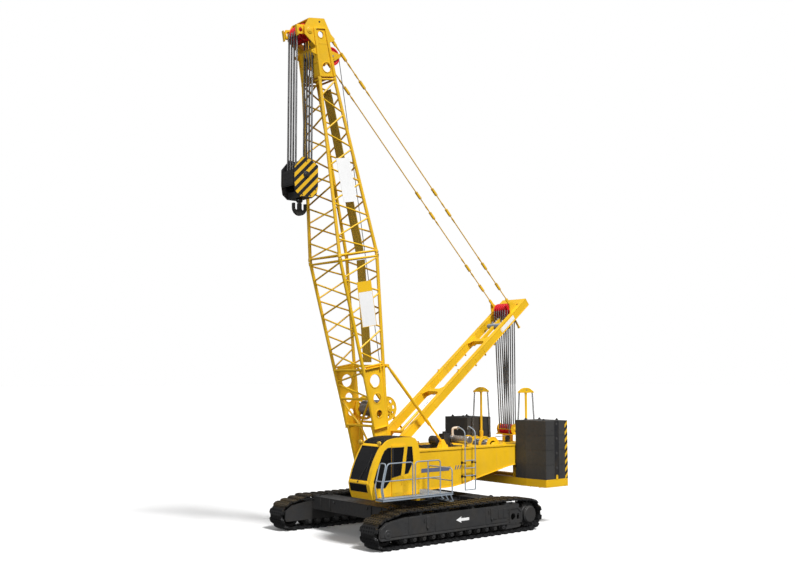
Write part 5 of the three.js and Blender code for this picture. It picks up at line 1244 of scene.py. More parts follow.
def ladder():
    """A fixed ladder up the left housing, whose sides bend over the deck's edge as handholds."""
    stiles = Piece("ladder_rails", "upper", RAIL)
    y = 1.75
    for x in (-2.31, -1.75):
        stiles.sweep(rounded([(x, y, 1.55), (x, y, 3.87), (x, y - 0.40, 4.04), (x, y - 0.435, 3.90)], 0.16, 6), 0.024,
                     12)
    for z in (1.565, 2.115, 2.41, 2.705):
        stiles.tube((-2.31, y, z), (-1.75, y, z), 0.020, 10)
    stiles.done(replaces=["ladder"])
    brackets = Piece("ladder_brackets", "upper", DARK)
    for z in (2.08, 2.62):
        for x in (-2.31, -1.75):
            brackets.box((x - 0.02, x + 0.02), (HOUSING[1] + 0.0003, y), (z - 0.02, z + 0.02))
            brackets.lathe((x, y, z - 0.03), (0, 0, 1), [(0, 0.025), (0, 0.031), (0.06, 0.031), (0.06, 0.025)], 16,
                           ring=True)
            brackets.prism("y", rounded_box(x - 0.05, x + 0.05, z - 0.05, z + 0.05, 0.012),
                           (HOUSING[1] + 0.0003, HOUSING[1] + 0.010))
    brackets.done()


# ------------------------------------------------------------------ cab
CAB_RIGHT = 1.44
CAB_MIDDLE = 2.065
CAB_FRONT = ((1.69, 3.62), (1.96, 3.72), (2.22, 3.78), (2.40, 3.735), (2.70, 3.64), (3.02, 3.50), (3.29, 3.35),
             (3.53, 3.20),
             (3.625, 3.13), (3.70, 3.04))  # z and x up the front
CAB_TOP = ((1.53, 3.63), (1.64, 3.77), (1.76, 3.822), (2.15, 3.836), (2.50, 3.828), (2.75, 3.80), (2.92, 3.76),
           (3.04, 3.70),
           (3.13, 3.625))  # x and z along the roof
FRONT_WINDOW = ((2.80, 3.495), (2.80, 2.35), (2.86, 2.30), (3.06, 2.072), (3.445, 2.08), (3.59, 2.325), (3.50, 2.575),
                (3.32, 2.99), (3.225, 3.20), (3.11, 3.39), (2.94, 3.495))
REAR_WINDOW = ((2.02, 3.50), (1.80, 3.49), (1.745, 2.96), (1.985, 2.53), (2.165, 2.505))
DOOR_WINDOW = ((2.215, 3.493), (2.37, 2.49), (2.74, 2.425), (2.74, 3.493))
SCREENS = ((2.36, 3.525), (1.94, 2.23))
DOOR_FACE = CAB_LEFT + 0.046


def between(line, at):
    """The second number of a line of pairs, where its first number is at."""
    for (a0, b0), (a1, b1) in zip(line, line[1:]):
        if at <= a1:
            return b0 + (b1 - b0) * (at - a0) / (a1 - a0)
    return line[-1][1]


def cab_skin_x(z):
    return between(CAB_FRONT, z)


def cab_roof_z(x):
    return between(CAB_TOP, x)


def front_strip(piece, low, high, y, out, back=0.03):
    """A strip that follows the cab's front between two heights."""
    heights = [low] + [z for z, _ in CAB_FRONT if low < z < high] + [high]
    piece.prism("y", [(cab_skin_x(z) + out, z) for z in heights] + [(cab_skin_x(z) - back,
                                                                     z) for z in reversed(heights)], y)


def window_frame(piece, outline, y, width=0.022, thick=0.010):
    """A rubber strip round a window, on a face square to Y."""
    points = [Vector((x, 0, z)) for x, z in outline]
    area = sum(a.x * b.z - b.x * a.z for a, b in zip(points, points[1:] + points[:1]))
    sign = 1 if area > 0 else -1
    inner = []
    for i, p in enumerate(points):
        a, b = (p - points[i - 1]).normalized(), (points[(i + 1) % len(points)] - p).normalized()
        na, nb = Vector((-a.z, 0, a.x)) * sign, Vector((-b.z, 0, b.x)) * sign
        n = (na + nb).normalized()
        inner.append(p + n * width / max(0.35, n.dot(na)))
    piece.prism("y", [(p.x, p.z) for p in points], (y - thick / 2, y + thick / 2), [[(p.x, p.z) for p in inner]])


def cab_trim():
    trim = Piece("cab_trim", "upper", YELLOW)
    inner = (CAB_RIGHT + 0.10, CAB_LEFT - 0.20)
    for z in (1.735, 1.79, 1.845, 1.90):
        x = cab_skin_x(z)
        trim.prism("y", [(x - 0.02, z), (x + 0.012, z + 0.004), (cab_skin_x(z + 0.026) + 0.012, z + 0.026),
                         (cab_skin_x(z + 0.03) - 0.02, z + 0.03)], inner)
    x0, x1 = cab_skin_x(2.250), cab_skin_x(2.335)
    trim.prism("y", [(x0 - 0.01, 2.250), (x0 + 0.022, 2.255), (x1 + 0.022, 2.33), (x1 - 0.01, 2.335)],
               (CAB_RIGHT + 0.03, CAB_LEFT - 0.13))
    for y in (CAB_RIGHT - 0.0005, CAB_LEFT - 0.0005):
        way = -1 if y < 2 else 1
        trim.prism("y", [(1.50, 1.695), (3.55, 1.695), (3.56, 1.725), (1.50, 1.725)], sorted((y, y + way * 0.010)))
    front_strip(trim, 3.535, 3.585, (CAB_RIGHT + 0.07, CAB_LEFT - 0.13), 0.016)
    trim.prism("x", [(1.54, 3.15), (1.60, 3.15), (1.60, 3.16), (1.54, 3.16)], (1.40, 1.43))
    trim.done(0.004)

    roof = Piece("roof_pane_guard", "upper", DARK)
    line = (1.66, 1.76, 2.15, 2.50, 2.75, 2.92, 3.04, 3.115)
    for i in range(12):
        y = 1.525 + i * 0.098
        top = [(x, cab_roof_z(x) + 0.010) for x in line]
        roof.prism("y", top + [(x, z - 0.022) for x, z in reversed(top)], (y - 0.008, y + 0.008))
    for x in (1.67, 2.03, 2.39, 2.75, 3.10):
        z = cab_roof_z(x)
        roof.box((x - 0.012, x + 0.012), (1.515, 2.615), (z - 0.012, z + 0.006))
    roof.done(0.002)

    seals = Piece("window_seals", "upper", RUBBER)
    window_frame(seals, FRONT_WINDOW, CAB_LEFT + 0.001, 0.026)
    window_frame(seals, REAR_WINDOW, CAB_LEFT + 0.001, 0.024)
    for z0, z1 in SCREENS:
        for y in (CAB_RIGHT + 0.08, CAB_LEFT - 0.18 - 0.022):
            front_strip(seals, z0, z1, (y, y + 0.022), 0.004)
        for z in (z0, z1 - 0.022):
            front_strip(seals, z, z + 0.022, (CAB_RIGHT + 0.08, CAB_LEFT - 0.18), 0.004)
    seals.box((1.395, 1.425), (1.645, 2.485), (2.495, 2.515))
    seals.box((1.395, 1.425), (1.645, 2.485), (3.065, 3.085))
    seals.prism("y", [(2.790, 2.40), (2.804, 2.385), (2.804, 3.495), (2.790, 3.495)],
                (CAB_LEFT - 0.001, CAB_LEFT + 0.006))
    seals.done()

    door_seals = Piece("door_seals", "cab_door", RUBBER)
    window_frame(door_seals, DOOR_WINDOW, DOOR_FACE + 0.001, 0.022)
    door_seals.prism("y", [(2.738, 2.425), (2.784, 2.418), (2.784, 3.493), (2.738, 3.493)],
                     (CAB_LEFT + 0.020, DOOR_FACE + 0.004))
    door_seals.done()
    door_ribs = Piece("door_ribs", "cab_door", YELLOW)
    door_ribs.sweep(rounded([(2.36, DOOR_FACE, 2.16), (2.36, DOOR_FACE + 0.045, 2.16),
                             (2.36, DOOR_FACE + 0.045, 2.34),
                             (2.36, DOOR_FACE, 2.34)], 0.03), 0.009, 10)
    door_ribs.prism("y", rounded_box(2.45, 2.72, 1.86, 2.32, 0.05), (DOOR_FACE - 0.001, DOOR_FACE + 0.007))
    for x in (2.44, 2.62):
        door_ribs.lathe((x, CAB_LEFT + 0.020, 1.778), (0, 1, 0), [(0, 0.0), (0, 0.011), (0.024, 0.011), (0.024, 0.0)],
                        16)
    door_ribs.done(0.003)

    lamps = Piece("roof_lamps", "upper", LAMP)
    holders = Piece("roof_lamp_holders", "upper", DARK)
    for y in (CAB_MIDDLE - 0.58, CAB_MIDDLE + 0.52):
        x, z = 3.25, 3.665
        lamps.lathe((x, y, z), (1, 0, -0.25),
                    [(-0.07, 0.0), (-0.065, 0.03), (-0.03, 0.062), (0.01, 0.076), (0.045, 0.078),
                                               (0.06, 0.070), (0.068, 0.045), (0.07, 0.0)], 32)
        holders.tube((3.15, y, 3.60), (x - 0.03, y, z - 0.03), 0.018, 12)
        holders.lathe((x, y, z), (1, 0, -0.25), [(0.030, 0.077), (0.030, 0.082), (0.050, 0.082), (0.050, 0.076)], 32,
                      ring=True)
    lamps.done()
    holders.done()

    wiper = Piece("wiper", "upper", DARK)
    a, b = Vector((cab_skin_x(2.30) + 0.045, 2.02, 2.30)), Vector((cab_skin_x(3.05) + 0.022, 2.36, 3.05))
    wiper.tube(a, b, 0.009, 8)
    wiper.tube(b + Vector((0.16, 0, -0.38)), b + Vector((-0.10, 0, 0.24)), 0.010, 8)
    wiper.lathe((cab_skin_x(2.30) + 0.01, 2.02, 2.30), (1, 0, 0.1),
                [(0, 0.03), (0.03, 0.03), (0.04, 0.02), (0.04, 0.0)], 16)
    wiper.done()


def cab_inside():
    """The controls and the seat's cloth, seen through the glass."""
    inside = Piece("cab_controls", "upper", DARK)
    floor = 1.7403
    inside.prism("y", [(3.30, floor), (3.44, floor), (3.54, 2.12), (3.48, 2.28), (3.30, 2.36), (3.24, 2.30),
                       (3.34, 2.10)], (1.56, 1.86))
    inside.prism("y", rounded_box(3.16, 3.20, 2.36, 2.66, 0.02), (1.56, 1.90))
    inside.tube((3.20, 1.72, 2.2), (3.18, 1.72, 2.42), 0.02, 10)
    for y in (1.78, 2.34):
        inside.tube((2.58, y, 2.375), (2.60, y, 2.52), 0.012, 10)
        inside.ball((2.60, y, 2.54), 0.028, 12)
    for y in (1.98, 2.14):
        inside.prism("y", [(3.05, floor), (3.20, floor), (3.28, floor + 0.10), (3.26, floor + 0.12)],
                     (y - 0.05, y + 0.05))
    inside.done(0.003)

    seat = Piece("seat_cushions", "upper", CLOTH)
    x, y = 2.35, 2.06
    seat.prism("y", [(x - 0.24, 2.18), (x + 0.22, 2.18), (x + 0.26, 2.21), (x + 0.26, 2.25), (x + 0.20, 2.275),
                     (x - 0.16, 2.25), (x - 0.24, 2.24)], (y - 0.24, y + 0.24))
    seat.prism("y", [(x - 0.25, 2.22), (x - 0.12, 2.22), (x - 0.10, 2.40), (x - 0.16, 2.62), (x - 0.21, 2.80),
                     (x - 0.30, 2.82), (x - 0.34, 2.78)], (y - 0.23, y + 0.23))
    seat.prism("y", rounded_box(x - 0.335, x - 0.235, 2.71, 2.86, 0.03), (y - 0.12, y + 0.12))
    piece = seat.done(0.025, replaces=["operator_seat"])
    piece.modifiers["edges"].segments = 4
    base = Piece("seat_base", "upper", DARK)
    base.prism("y", [(x - 0.20, floor), (x + 0.18, floor), (x + 0.16, floor + 0.06), (x + 0.10, floor + 0.10),
                     (x + 0.14, floor + 0.36), (x + 0.18, 2.18), (x - 0.20, 2.18), (x - 0.14, floor + 0.36),
                     (x - 0.12, floor + 0.10), (x - 0.18, floor + 0.06)], (y - 0.19, y + 0.19))
    for dy in (-0.28, 0.28):
        base.prism("y", [(x - 0.18, 2.22), (x + 0.22, 2.28), (x + 0.24, 2.33), (x + 0.18, 2.375), (x - 0.18, 2.375)],
                   (y + dy - 0.035, y + dy + 0.035))
    base.done(0.006)


walkway()
ladder()
cab_trim()
cab_inside()


# ------------------------------------------------------------------ boom
PLATE_LOW = (2.327, 1.792, 0.683)  # station, width and depth over the chords
PLATE_HIGH = (4.583, 1.920, 1.055)
JOINT = (8.895, 2.023, 1.863)
HEAD_BASE = (15.789, 1.176, 0.765)
HEAD_X, HEAD_Z = 0.53, 17.53  # the head sheaves' axle
GUIDE_X, GUIDE_Z = -0.78, 16.72  # the guide sheave's pin
FALL_PITCH = 0.175  # between the sheaves of the head and of the hook block
CHORD = 0.066
LACING = 0.034
NODE_GAP = 0.048
SECTION_END = 0.105
CORNERS = ((1, 1), (-1, 1), (-1, -1), (1, -1))  # side, face
FACES = tuple(zip(CORNERS, CORNERS[1:] + CORNERS[:1]))
DRUM = (-0.55, 2.9)


def size_at(s):
    stations = (PLATE_LOW, PLATE_HIGH, JOINT, HEAD_BASE)
    for a, b in zip(stations, stations[1:]):
        if s <= b[0] or b is HEAD_BASE:
            t = (s - a[0]) / (b[0] - a[0])
            return a[1] + (b[1] - a[1]) * t, a[2] + (b[2] - a[2]) * t
    return HEAD_BASE[1:]


def chord_at(s, side, face):
    width, depth = size_at(s)
    return Vector((face * (depth / 2 - 0.04), side * (width / 2 - 0.04), s))


def lattice(piece, stations, start, end, bays):
    for side, face in CORNERS:
        piece.sweep([chord_at(s, side, face) for s in stations], CHORD, 20)
    for a, b in FACES:
        for i in range(bays):
            low, high = start + (end - start) * i / bays, start + (end - start) * (i + 1) / bays
            first, second = (b, a) if i % 2 else (a, b)
            piece.tube(chord_at(low + NODE_GAP, *first), chord_at(high - NODE_GAP, *second), LACING, 12)


def cross_frame(piece, s, radius):
    for a, b in FACES:
        piece.tube(chord_at(s, *a), chord_at(s, *b), radius, 12)


def connectors(piece, s, way):
    """The pinned ends of a section's chords: a forked block on each."""
    for side, face in CORNERS:
        p, q = chord_at(s, side, face), chord_at(s + way * 0.2, side, face)
        along = (q - p).normalized()
        piece.lathe(p + along * 0.002, along, [(0, 0.0), (0, 0.062), (0.012, 0.074), (0.10, 0.078), (0.13, 0.072),
                                               (0.16, CHORD + 0.001)], 20)


def ring(piece, x, z, y, side, inner, outer, height):
    """A raised collar round a hole on a face square to Y."""
    piece.lathe((x, y, z), (0, side, 0), [(-0.002, inner), (-0.002, outer), (height, outer), (height, inner)], 40,
                ring=True)


def boom_base():
    low, high, end = PLATE_LOW[0], PLATE_HIGH[0], JOINT[0]
    cross = end - SECTION_END
    tubes = Piece("boom_base_lattice", "boom", YELLOW, BOOM)
    lattice(tubes, [low, high, end - 0.001], high + 0.06, cross, 6)
    cross_frame(tubes, cross, 0.04)
    for s, face in ((2.4, 1), (3.45, 1), (high, 1), (2.4, -1), (high, -1)):
        tubes.tube(chord_at(s, 1, face), chord_at(s, -1, face), 0.05, 20)

    def leg_front(s, side):
        return Vector((0.06 + (PLATE_LOW[2] / 2 - 0.12) * s / low, side * 0.765, s))

    tubes.tube(leg_front(0.45, 1), leg_front(0.45, -1), 0.05, 20)
    centre = (chord_at(2.4, 1, 1) + chord_at(2.4, -1, 1)) / 2
    for side in (1, -1):
        tubes.tube(leg_front(0.45, side), centre, 0.04, 16)
        tubes.tube(chord_at(3.40, side, 1), centre, 0.04, 16)
        tubes.tube(chord_at(high + 0.10, side, 1), chord_at(high + 0.10, side, -1), LACING, 12)
    for first, a, second, b in ((1, 3.52, -1, 4.02), (-1, 4.12, 1, 4.50)):
        tubes.tube(chord_at(a, first, 1), chord_at(b, second, 1), 0.036, 16)
    connectors(tubes, end - 0.001, -1)
    tubes.done(replaces=["boom_base_section"])

    plates = Piece("boom_base_plates", "boom", YELLOW, BOOM)
    holes = ((0, 4.09, 0.25), (0.01, 3.42, 0.185), (0.01, 2.83, 0.14))
    half_low, half_high = PLATE_LOW[2] / 2, PLATE_HIGH[2] / 2
    for _, side in SIDES:
        leg = hull([(p[0], p[1]) for p in arc(0, 0, 0.15, 180, 360, 16)] + [(-half_low, low + 0.04),
                                                                            (half_low, low + 0.04)])
        bore = circle(0, 0, 0.066, 28)
        plates.prism("y", leg, span(side, 0.715, 0.815), [bore])
        for y in ((0.700, 0.716), (0.814, 0.830)):
            plates.prism("y", leg, span(side, *y), [bore])
        rim = hull([(p[0], p[1]) for p in arc(0, 0, 0.148, 180, 360, 16)] + [(-half_low + 0.002, low + 0.038),
                                                                             (half_low - 0.002, low + 0.038)])
        window_frame(plates, rim, side * 0.834, 0.040, 0.014)
        plates.prism("y", [(-0.13, 1.55), (0.13, 1.55), (0.16, 2.02), (-0.16, 2.02)], span(side, 0.828, 0.838))
        plates.lathe((0, side * 0.83, 0), (0, side, 0),
                     [(-0.002, 0.068), (-0.002, 0.125), (0.012, 0.125), (0.016, 0.118), (0.016, 0.068)],
                     36, ring=True)
        side_plate = [(-half_low, low - 0.06), (half_low, low - 0.06), (half_high, high), (-half_high, high)]
        plates.prism("y", side_plate, span(side, 0.88, 0.905), [circle(x, z, r, 40) for x, z, r in holes])
        for x, z, r in holes:
            ring(plates, x, z, side * 0.905, side, r - 0.004, r + 0.026, 0.016)
            ring(plates, x, z, side * 0.88, -side, r - 0.004, r + 0.026, 0.012)
        edge = span(side, 0.900, 0.935)
        for a, b in (((-half_low, low - 0.02), (-half_high, high)), ((half_low, low - 0.02), (half_high, high))):
            way = -1 if a[0] < 0 else 1
            plates.prism("y", [a, b, (b[0] - way * 0.075, b[1]), (a[0] - way * 0.060, a[1])], edge)
        plates.prism("y", [(-half_low - 0.015, low - 0.045), (half_low + 0.015, low - 0.045),
                           (half_low + 0.015, low - 0.015),
                           (-half_low - 0.015, low - 0.015)], span(side, 0.70, 0.955))
        plates.prism("y", [(-half_high - 0.01, high - 0.005), (half_high + 0.01, high - 0.005),
                           (half_high + 0.01, high + 0.022),
                           (-half_high - 0.01, high + 0.022)], span(side, 0.87, 0.985))
        plates.prism("y", [(-0.40, high + 0.02), (0.40, high + 0.02), (0.30, high + 0.10), (-0.30, high + 0.10)],
                     span(side, 0.90, 0.915))
    plates.done(0.003)

    ears = Piece("boom_base_ears", "boom", YELLOW, BOOM)
    u, s = DRUM
    outline = hull([(-0.25, s - 0.33), (-0.25, s + 0.33)] + circle(u, s, 0.13, 24))
    tilt = BOOM_TILT
    dx, dz = 1.588 - 1.407, 6.453 - 1.848
    bu, bs = dx * math.cos(tilt) - dz * math.sin(tilt), dx * math.sin(tilt) + dz * math.cos(tilt)
    for _, side in SIDES:
        ears.prism("y", outline, span(side, 0.79, 0.85), [circle(u, s, 0.092, 24)])
        ears.lathe((u, side * 0.85, s), (0, side, 0),
                   [(-0.002, 0.0), (-0.002, 0.12), (0.03, 0.12), (0.04, 0.11), (0.04, 0.05),
                                                       (0.055, 0.04), (0.055, 0.0)], 32)
        ears.bolts([(u + 0.10 * math.cos(a), side * 0.88,
                     s + 0.10 * math.sin(a)) for a in (math.radians(k) for k in range(0, 360, 45))],
                   (0, side, 0), 0.010, 0.012)
        stop = hull([(bu + 0.33, bs - 0.11), (bu + 0.33, bs + 0.11)] + circle(bu, bs, 0.07, 20))
        ears.prism("y", stop, span(side, 0.885, 0.915), [circle(bu, bs, 0.033, 16)])
        ears.prism("y", [(bu + 0.30, bs - 0.12), (bu + 0.36, bs - 0.12), (bu + 0.36, bs + 0.12),
                         (bu + 0.30, bs + 0.12)],
                   span(side, 0.86, 0.98))
    ears.done(0.003)


def boom_top():
    start, end = JOINT[0], HEAD_BASE[0]
    tubes = Piece("boom_top_lattice", "boom", YELLOW, BOOM)
    lattice(tubes, [start + 0.001, end - 0.0005], start + SECTION_END, end - 0.1, 10)
    for s in (start + SECTION_END, end - 0.1):
        cross_frame(tubes, s, 0.04)
    connectors(tubes, start + 0.001, 1)
    connectors(tubes, end - 0.001, -1)
    tubes.done(replaces=["boom_top_section"])
    pins = Piece("boom_section_pins", "boom", STEEL, BOOM)
    for side, face in CORNERS:
        p = chord_at(start, side, face)
        for dz in (-0.05, 0.05):
            pins.tube(p + Vector((0, -0.095, dz)), p + Vector((0, 0.095, dz)), 0.020, 12)
            pins.sweep([p + Vector((0.022 * math.cos(a), side * 0.092, dz + 0.022 * math.sin(a))) for a in (0, 1.5,
                                                                                                            3.0,
                                                                                                            4.4)],
                                                                                                            0.004, 6)
    pins.done()


def catwalks():
    """Open-mesh walkways on the boom's rear face, on small cross bearers."""
    def lie(s):
        """How far the mesh lies from the boom's line, on top of the lacing."""
        return -(size_at(s)[1] / 2 - 0.04) + LACING + 0.0003

    for name, start, end in (("catwalk_base", 4.733, 8.73), ("catwalk_top", 9.06, 15.389)):
        mesh = Piece(f"{name}_mesh", "boom", KHAKI, BOOM)
        mesh.prism("y", [(lie(start), start), (lie(end), end), (lie(end) + 0.004, end), (lie(start) + 0.004, start)],
                   (-0.249, 0.249))
        for y in (-0.25, -0.125, 0.0, 0.125, 0.25):
            wide = 0.008 if abs(y) < 0.2 else 0.010
            high = 0.022 if abs(y) < 0.2 else 0.03
            a, b = lie(start), lie(end)
            mesh.prism("y", [(a, start), (b, end), (b + high, end), (a + high, start)],
                       (min(y, y - math.copysign(wide, y)), max(y, y - math.copysign(wide, y))))
        count = int((end - start) / 0.085)
        for i in range(count + 1):
            s = start + (end - start) * i / count
            s = min(s, end - 0.008)
            a = lie(s) + 0.001
            mesh.box((a, a + 0.018), (-0.249, 0.249), (s, s + 0.007))
        mesh.done(replaces=[name])


def head_trim():
    trim = Piece("boom_head_trim", "boom", YELLOW, BOOM)
    outer = HEAD_BASE[1] / 2
    front_flange = [(0.27, 15.79), (0.375, 15.79), (0.348, 16.96), (0.352, 17.62), (0.25, 17.62)]
    rear_flange = [(-0.38, 15.79), (-0.385, 15.95), (-0.272, 17.62), (-0.175, 17.62), (-0.285, 15.79)]
    for _, side in SIDES:
        proud = span(side, outer - 0.001, outer + 0.048)
        trim.prism("y", front_flange, proud)
        trim.prism("y", rear_flange, proud)
        trim.box((-0.20, 0.27), span(side, outer - 0.001, outer + 0.040), (17.60, 17.635))
        trim.box((-0.28, 0.27), span(side, outer - 0.001, outer + 0.006), (17.03, 17.045))
        trim.box((-0.30, 0.27), span(side, outer - 0.001, outer + 0.006), (15.79, 15.85))
        for x, z, r in ((0.05, 17.39, 0.125), (-0.03, 16.14, 0.19)):
            ring(trim, x, z, side * outer, side, r - 0.002, r + 0.022, 0.014)
        trim.lathe((HEAD_X, side * outer, HEAD_Z), (0, side, 0),
                   [(0.0005, 0.0), (0.0005, 0.125), (0.014, 0.125), (0.02, 0.115), (0.02, 0.06),
                                                               (0.034, 0.055), (0.034, 0.0)], 36)
        trim.bolts([(HEAD_X + 0.09 * math.cos(a), side * (outer + 0.018), HEAD_Z + 0.09 * math.sin(a))
                    for a in (math.radians(k) for k in range(30, 390, 60))], (0, side, 0), 0.010, 0.010)
        guard = [(0.62, 17.43), (0.92, 17.43), (0.965, 17.48), (0.965, 17.74), (0.92, 17.79), (0.62, 17.79)]
        trim.prism("y", guard, span(side, 0.395, 0.415), [circle(0.80, 17.60, 0.115, 28)])
        ring(trim, 0.80, 17.60, side * 0.415, side, 0.112, 0.130, 0.010)
        for z in (17.45, 17.76):
            trim.box((0.63, 0.66), span(side, 0.40, outer - 0.038), (z - 0.012, z + 0.012))
        trim.prism("y", [(0.30, 16.96), (0.355, 16.96), (0.47, 17.08), (0.44, 17.11)], span(side, 0.30, outer - 0.03))
        trim.lathe((0.50, side * outer, 16.75), (0, side, 0),
                   [(-0.002, 0.028), (-0.002, 0.05), (0.008, 0.05), (0.008, 0.028)], 20, ring=True)
        trim.prism("y", hull(circle(GUIDE_X, GUIDE_Z, 0.20, 28) + circle(-1.22, 16.74, 0.035, 12) + [(-0.42, 16.60),
                                                                                                 (-0.42, 16.86)]),
                   span(side, 0.045, 0.058), [circle(GUIDE_X, GUIDE_Z, 0.042, 20)])
        trim.lathe((GUIDE_X, side * 0.058, GUIDE_Z), (0, side, 0),
                   [(-0.001, 0.042), (-0.001, 0.11), (0.02, 0.10), (0.03, 0.07), (0.03, 0.042)], 28,
                   ring=True)
    trim.prism("x", [(-0.548, 16.36), (0.548, 16.36), (0.548, 16.94), (-0.548, 16.94)], (0.298, 0.322),
               [circle(y, 16.60, 0.10, 28) for y in (-0.262, 0.262)])
    for s in (16.36, 16.93):
        trim.box((0.295, 0.352), (-0.548, 0.548), (s - 0.012, s + 0.012))
    for y in (-0.262, 0.262):
        trim.lathe((0.322, y, 16.60), (1, 0, 0), [(-0.002, 0.10), (-0.002, 0.118), (0.012, 0.118), (0.012, 0.10)], 32,
                   ring=True)
    trim.lathe((0.362, 0.0, 16.08), (1, 0, 0), [(-0.01, 0.194), (-0.01, 0.218), (0.014, 0.218), (0.014, 0.194)], 40,
               ring=True)
    for s, u in ((15.85, 0.372), (16.32, 0.350)):
        trim.box((u - 0.02, u + 0.018), (-0.54, 0.54), (s - 0.012, s + 0.012))
    trim.tube((-1.22, -0.06, 16.74), (-1.22, 0.06, 16.74), 0.03, 16)
    trim.done(0.003)

    # dark discs behind the front plate's holes and on the side plates: painted shade inside the holes
    dark = Piece("boom_head_hole_shade", "boom", DARK, BOOM)
    for y in (-0.262, 0.262):
        dark.lathe((0.284, y, 16.60), (1, 0, 0), [(0.0, 0.0), (0.0, 0.125), (0.012, 0.125), (0.012, 0.0)], 28)
    for _, side in SIDES:
        dark.lathe((0.02, side * (outer - 0.004), 17.87), (0, side, 0),
                   [(0.0, 0.0), (0.0, 0.040), (0.0055, 0.040), (0.0055, 0.0)], 20)
    dark.done()

    sheaves = Piece("boom_head_sheaves", "boom", RED, BOOM)
    for i in range(4):
        rope_wheel(sheaves, (HEAD_X, (i - 1.5) * FALL_PITCH, HEAD_Z), 0.34, 0.064, spokes=6)
    sheaves.done(replaces=["head_sheaves"])
    axle = Piece("boom_head_axle", "boom", STEEL, BOOM)
    axle.tube((HEAD_X, -0.548, HEAD_Z), (HEAD_X, 0.548, HEAD_Z), 0.07, 28)
    for y in (-0.44, -0.175, 0.0, 0.175, 0.44):
        axle.lathe((HEAD_X, y, HEAD_Z), (0, 1, 0), [(-0.018, 0.07), (-0.018, 0.088), (0.018, 0.088), (0.018, 0.07)], 28,
                   ring=True)
    axle.done()
    guide = Piece("rope_guide_sheave", "boom", RED, BOOM)
    rope_wheel(guide, (GUIDE_X, 0.0, GUIDE_Z), 0.365, 0.064, spokes=6)
    guide.done(replaces=["guide_sheave"])
    pin = Piece("rope_guide_pin", "boom", STEEL, BOOM)
    pin.tube((GUIDE_X, -0.105, GUIDE_Z), (GUIDE_X, 0.105, GUIDE_Z), 0.04, 20)
    pin.done()


def hoist_winch():
    u, s = DRUM
    drum = Piece("main_hoist_drum", "boom", YELLOW, BOOM)
    for y in (-0.68, 0.68):
        drum_flange(drum, u, s, y, 0.48, 0.038, holes=8)
    drum.tube((u, -0.69, s), (u, 0.69, s), 0.26, 36)
    drum.tube((u, -0.789, s), (u, 0.789, s), 0.09, 24)
    drum.done(0.003, replaces=["hoist_drum"])
    rope = Piece("main_hoist_rope_layers", "boom", ROPE, BOOM)
    rope_drum(rope, (u, 0, s), (0, 1, 0), -0.655, 0.655, 0.305, 0.014)
    rope.done()
    lead = Piece("main_hoist_lead_rope", "boom", ROPE, BOOM)
    low, high = Vector((u - 0.340, 0.20, s)), Vector((GUIDE_X - 0.350, 0.0, GUIDE_Z))
    lead.tube(low, high, 0.014, 10)
    over = [high] + [Vector((x, 0.0, z)) for x, z in arc(GUIDE_X, GUIDE_Z, 0.350, 180, 118, 8)]
    last = Vector((HEAD_X + 0.326 * math.cos(math.radians(118)), 0.0875, HEAD_Z + 0.326 * math.sin(math.radians(118))))
    lead.sweep(over + [last], 0.014, 10)
    lead.done()


def patch(piece, s, u, d):
    """A thin slab on the low plate, between two stations, two places across and two depths."""
    def face(at):
        return size_at(at)[0] / 2 - 0.04 + LACING + 0.0123

    verts = [(across, face(at) + deep, at) for at in s for deep in d for across in u]
    piece.add(verts, [(0, 1, 3, 2), (4, 6, 7, 5), (0, 4, 5, 1), (2, 3, 7, 6), (0, 2, 6, 4), (1, 5, 7, 3)])


def signs():
    """Yellow edges and a yellow field on the low plate; both plates are blank."""
    border = Piece("boom_sign_borders", "boom", YELLOW, BOOM)
    low, high, rear, front = 6.17, 7.90, -0.40, 0.29
    for u in ((rear, rear + 0.018), (front - 0.018, front)):
        patch(border, (low, high), u, (-0.001, 0.003))
    for s in ((low, low + 0.018), (high - 0.018, high)):
        patch(border, s, (rear, front), (-0.001, 0.003))
    patch(border, (7.50, 7.885), (rear + 0.016, front - 0.016), (-0.001, 0.0022))
    border.done()


boom_base()
boom_top()
catwalks()
head_trim()
hoist_winch()
signs()


# ------------------------------------------------------------------ mast and rigging
LEG = (0.52, 0.70, 0.17)  # inner and outer y, and half the depth
MAST_LENGTH = 9.67
LUFF_AXLE = (0.147, 8.84, 0.32)


